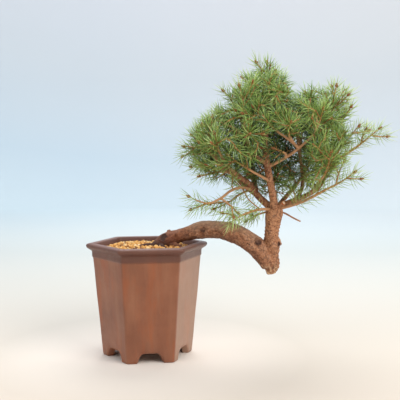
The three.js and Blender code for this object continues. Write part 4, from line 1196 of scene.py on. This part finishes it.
# The needles.
# Stiff four-sided needles, 10 to 16 mm long and under 1 mm across, that stand all round each twig on
# its pegs and curve a little towards its tip. Those near the tips and at the crown's outside are lightest;
# the darkening further inside the crown is painted shade. A few have a bluish bloom.
NEEDLES_EACH_MM = 1.55
NEEDLE_TURN = 2.39996  # radians from one needle to the next
NEEDLE_LENGTHS = 10.5, 14.5
NEEDLE_HALF_WIDTHS = 0.28, 0.38
RISING = 0.12
HANGING = {"left_droop": -0.5, "under_left": -0.3, "arch_side": -0.35, "left_arch": -0.2, "back_twig": -0.2}
NEEDLE_FACES = [face for j in range(4) for after in [(j + 1) % 4]
                for face in ((j, after, 4 + after, 4 + j), (4 + j, 4 + after, 8))] + [(3, 2, 1, 0)]

needle_green, green_shader = new_finish("needle_green", 0.42)
# The needles' stored shade: lighter near the tips with youth, darker inside the crown as painted shade.
youth_and_shade = add(needle_green, "Attribute", attribute_name="youth_and_shade").outputs["Fac"]
each = add(needle_green, "NewGeometry").outputs["Random Per Island"]
green_colour = ramp(needle_green, plus(needle_green, youth_and_shade, times(needle_green, each, 0.42)), [
    (0.0, (14, 26, 9)), (0.3, (58, 88, 32)), (0.6, (138, 171, 80)), (0.85, (178, 204, 114)),
    (1.0, (204, 220, 150))])
other_chance = add(needle_green, "Math", {0: times(needle_green, each, 37.0)}, operation="FRACT").outputs[0]
bloom = fade(needle_green, other_chance, 0.82, 0.98, most=0.6)
join(needle_green, tint(needle_green, green_colour, bloom, (112, 150, 124)), green_shader, "Base Color")


def needle(root, heading, out, length, width, bend):
    """A needle's corners: four at its foot, four at its knee and its tip, which bend moves."""
    side = np.cross(heading, out)
    side /= np.linalg.norm(side) + 1e-9
    flat = np.cross(side, heading)
    corners = [middle + side * wide * across_share + flat * wide * flat_share
               for middle, wide in ((root, 0.75 * width), (root + heading * length * 0.55, width))
               for across_share, flat_share in ((1, 0), (0, 0.8), (-1, 0), (0, -0.8))]
    return [*corners, root + heading * length + bend]


for spray in sprays:
    shapes, ages_and_shade = [], []
    rise = HANGING.get(spray.name, RISING)
    for number, (route, _, end, _, first) in enumerate(spray.twigs):
        strong = number <= len(spray.shoots)
        count = max(8, round((end - first) * NEEDLES_EACH_MM))
        angle = draw.uniform(0, 6.28)
        distances = [first + (end - first - 0.3) * (k + 0.5) / count for k in range(count)]
        for distance, (place, along, across, beside) in zip(distances, route.stations(distances)):
            angle += NEEDLE_TURN
            to_tip = (end - distance) / 9
            lean = math.radians((64 if to_tip > 1 else 26 + 38 * to_tip) + draw.uniform(-13, 13))
            out = across * math.cos(angle) + beside * math.sin(angle)
            length = draw.uniform(*NEEDLE_LENGTHS) * (1.08 if strong else 0.95)
            heading = along * math.cos(lean) + out * math.sin(lean)
            heading[2] += rise + draw.uniform(-0.12, 0.12)
            heading /= np.linalg.norm(heading)
            width = draw.uniform(*NEEDLE_HALF_WIDTHS)
            bend = along * length * draw.uniform(0.04, 0.2)
            shapes.append((needle(place + out * 0.4, heading, out, length, width, bend), NEEDLE_FACES))
            # Needles further inside the crown are painted darker, a painted shade; near a twig's tip they
            # are lighter with youth.
            outer = min(1, max(0, 1.6 * crown_share(place) - 0.75))
            age_and_shade = 0.58 * outer + (0.16 if strong else 0.06) * (1 - min(1, to_tip))
            ages_and_shade.extend([age_and_shade - 0.1] * 4 + [age_and_shade] * 4 + [age_and_shade + 0.1])
    name = spray.name if spray.name.startswith("spray") else spray.name + "_spray"
    needles = new_piece(spray.name + "_needles", *together(shapes), [needle_green])
    mark_corners(needles, "youth_and_shade", ages_and_shade)
    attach(needles, "root")
    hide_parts(name)
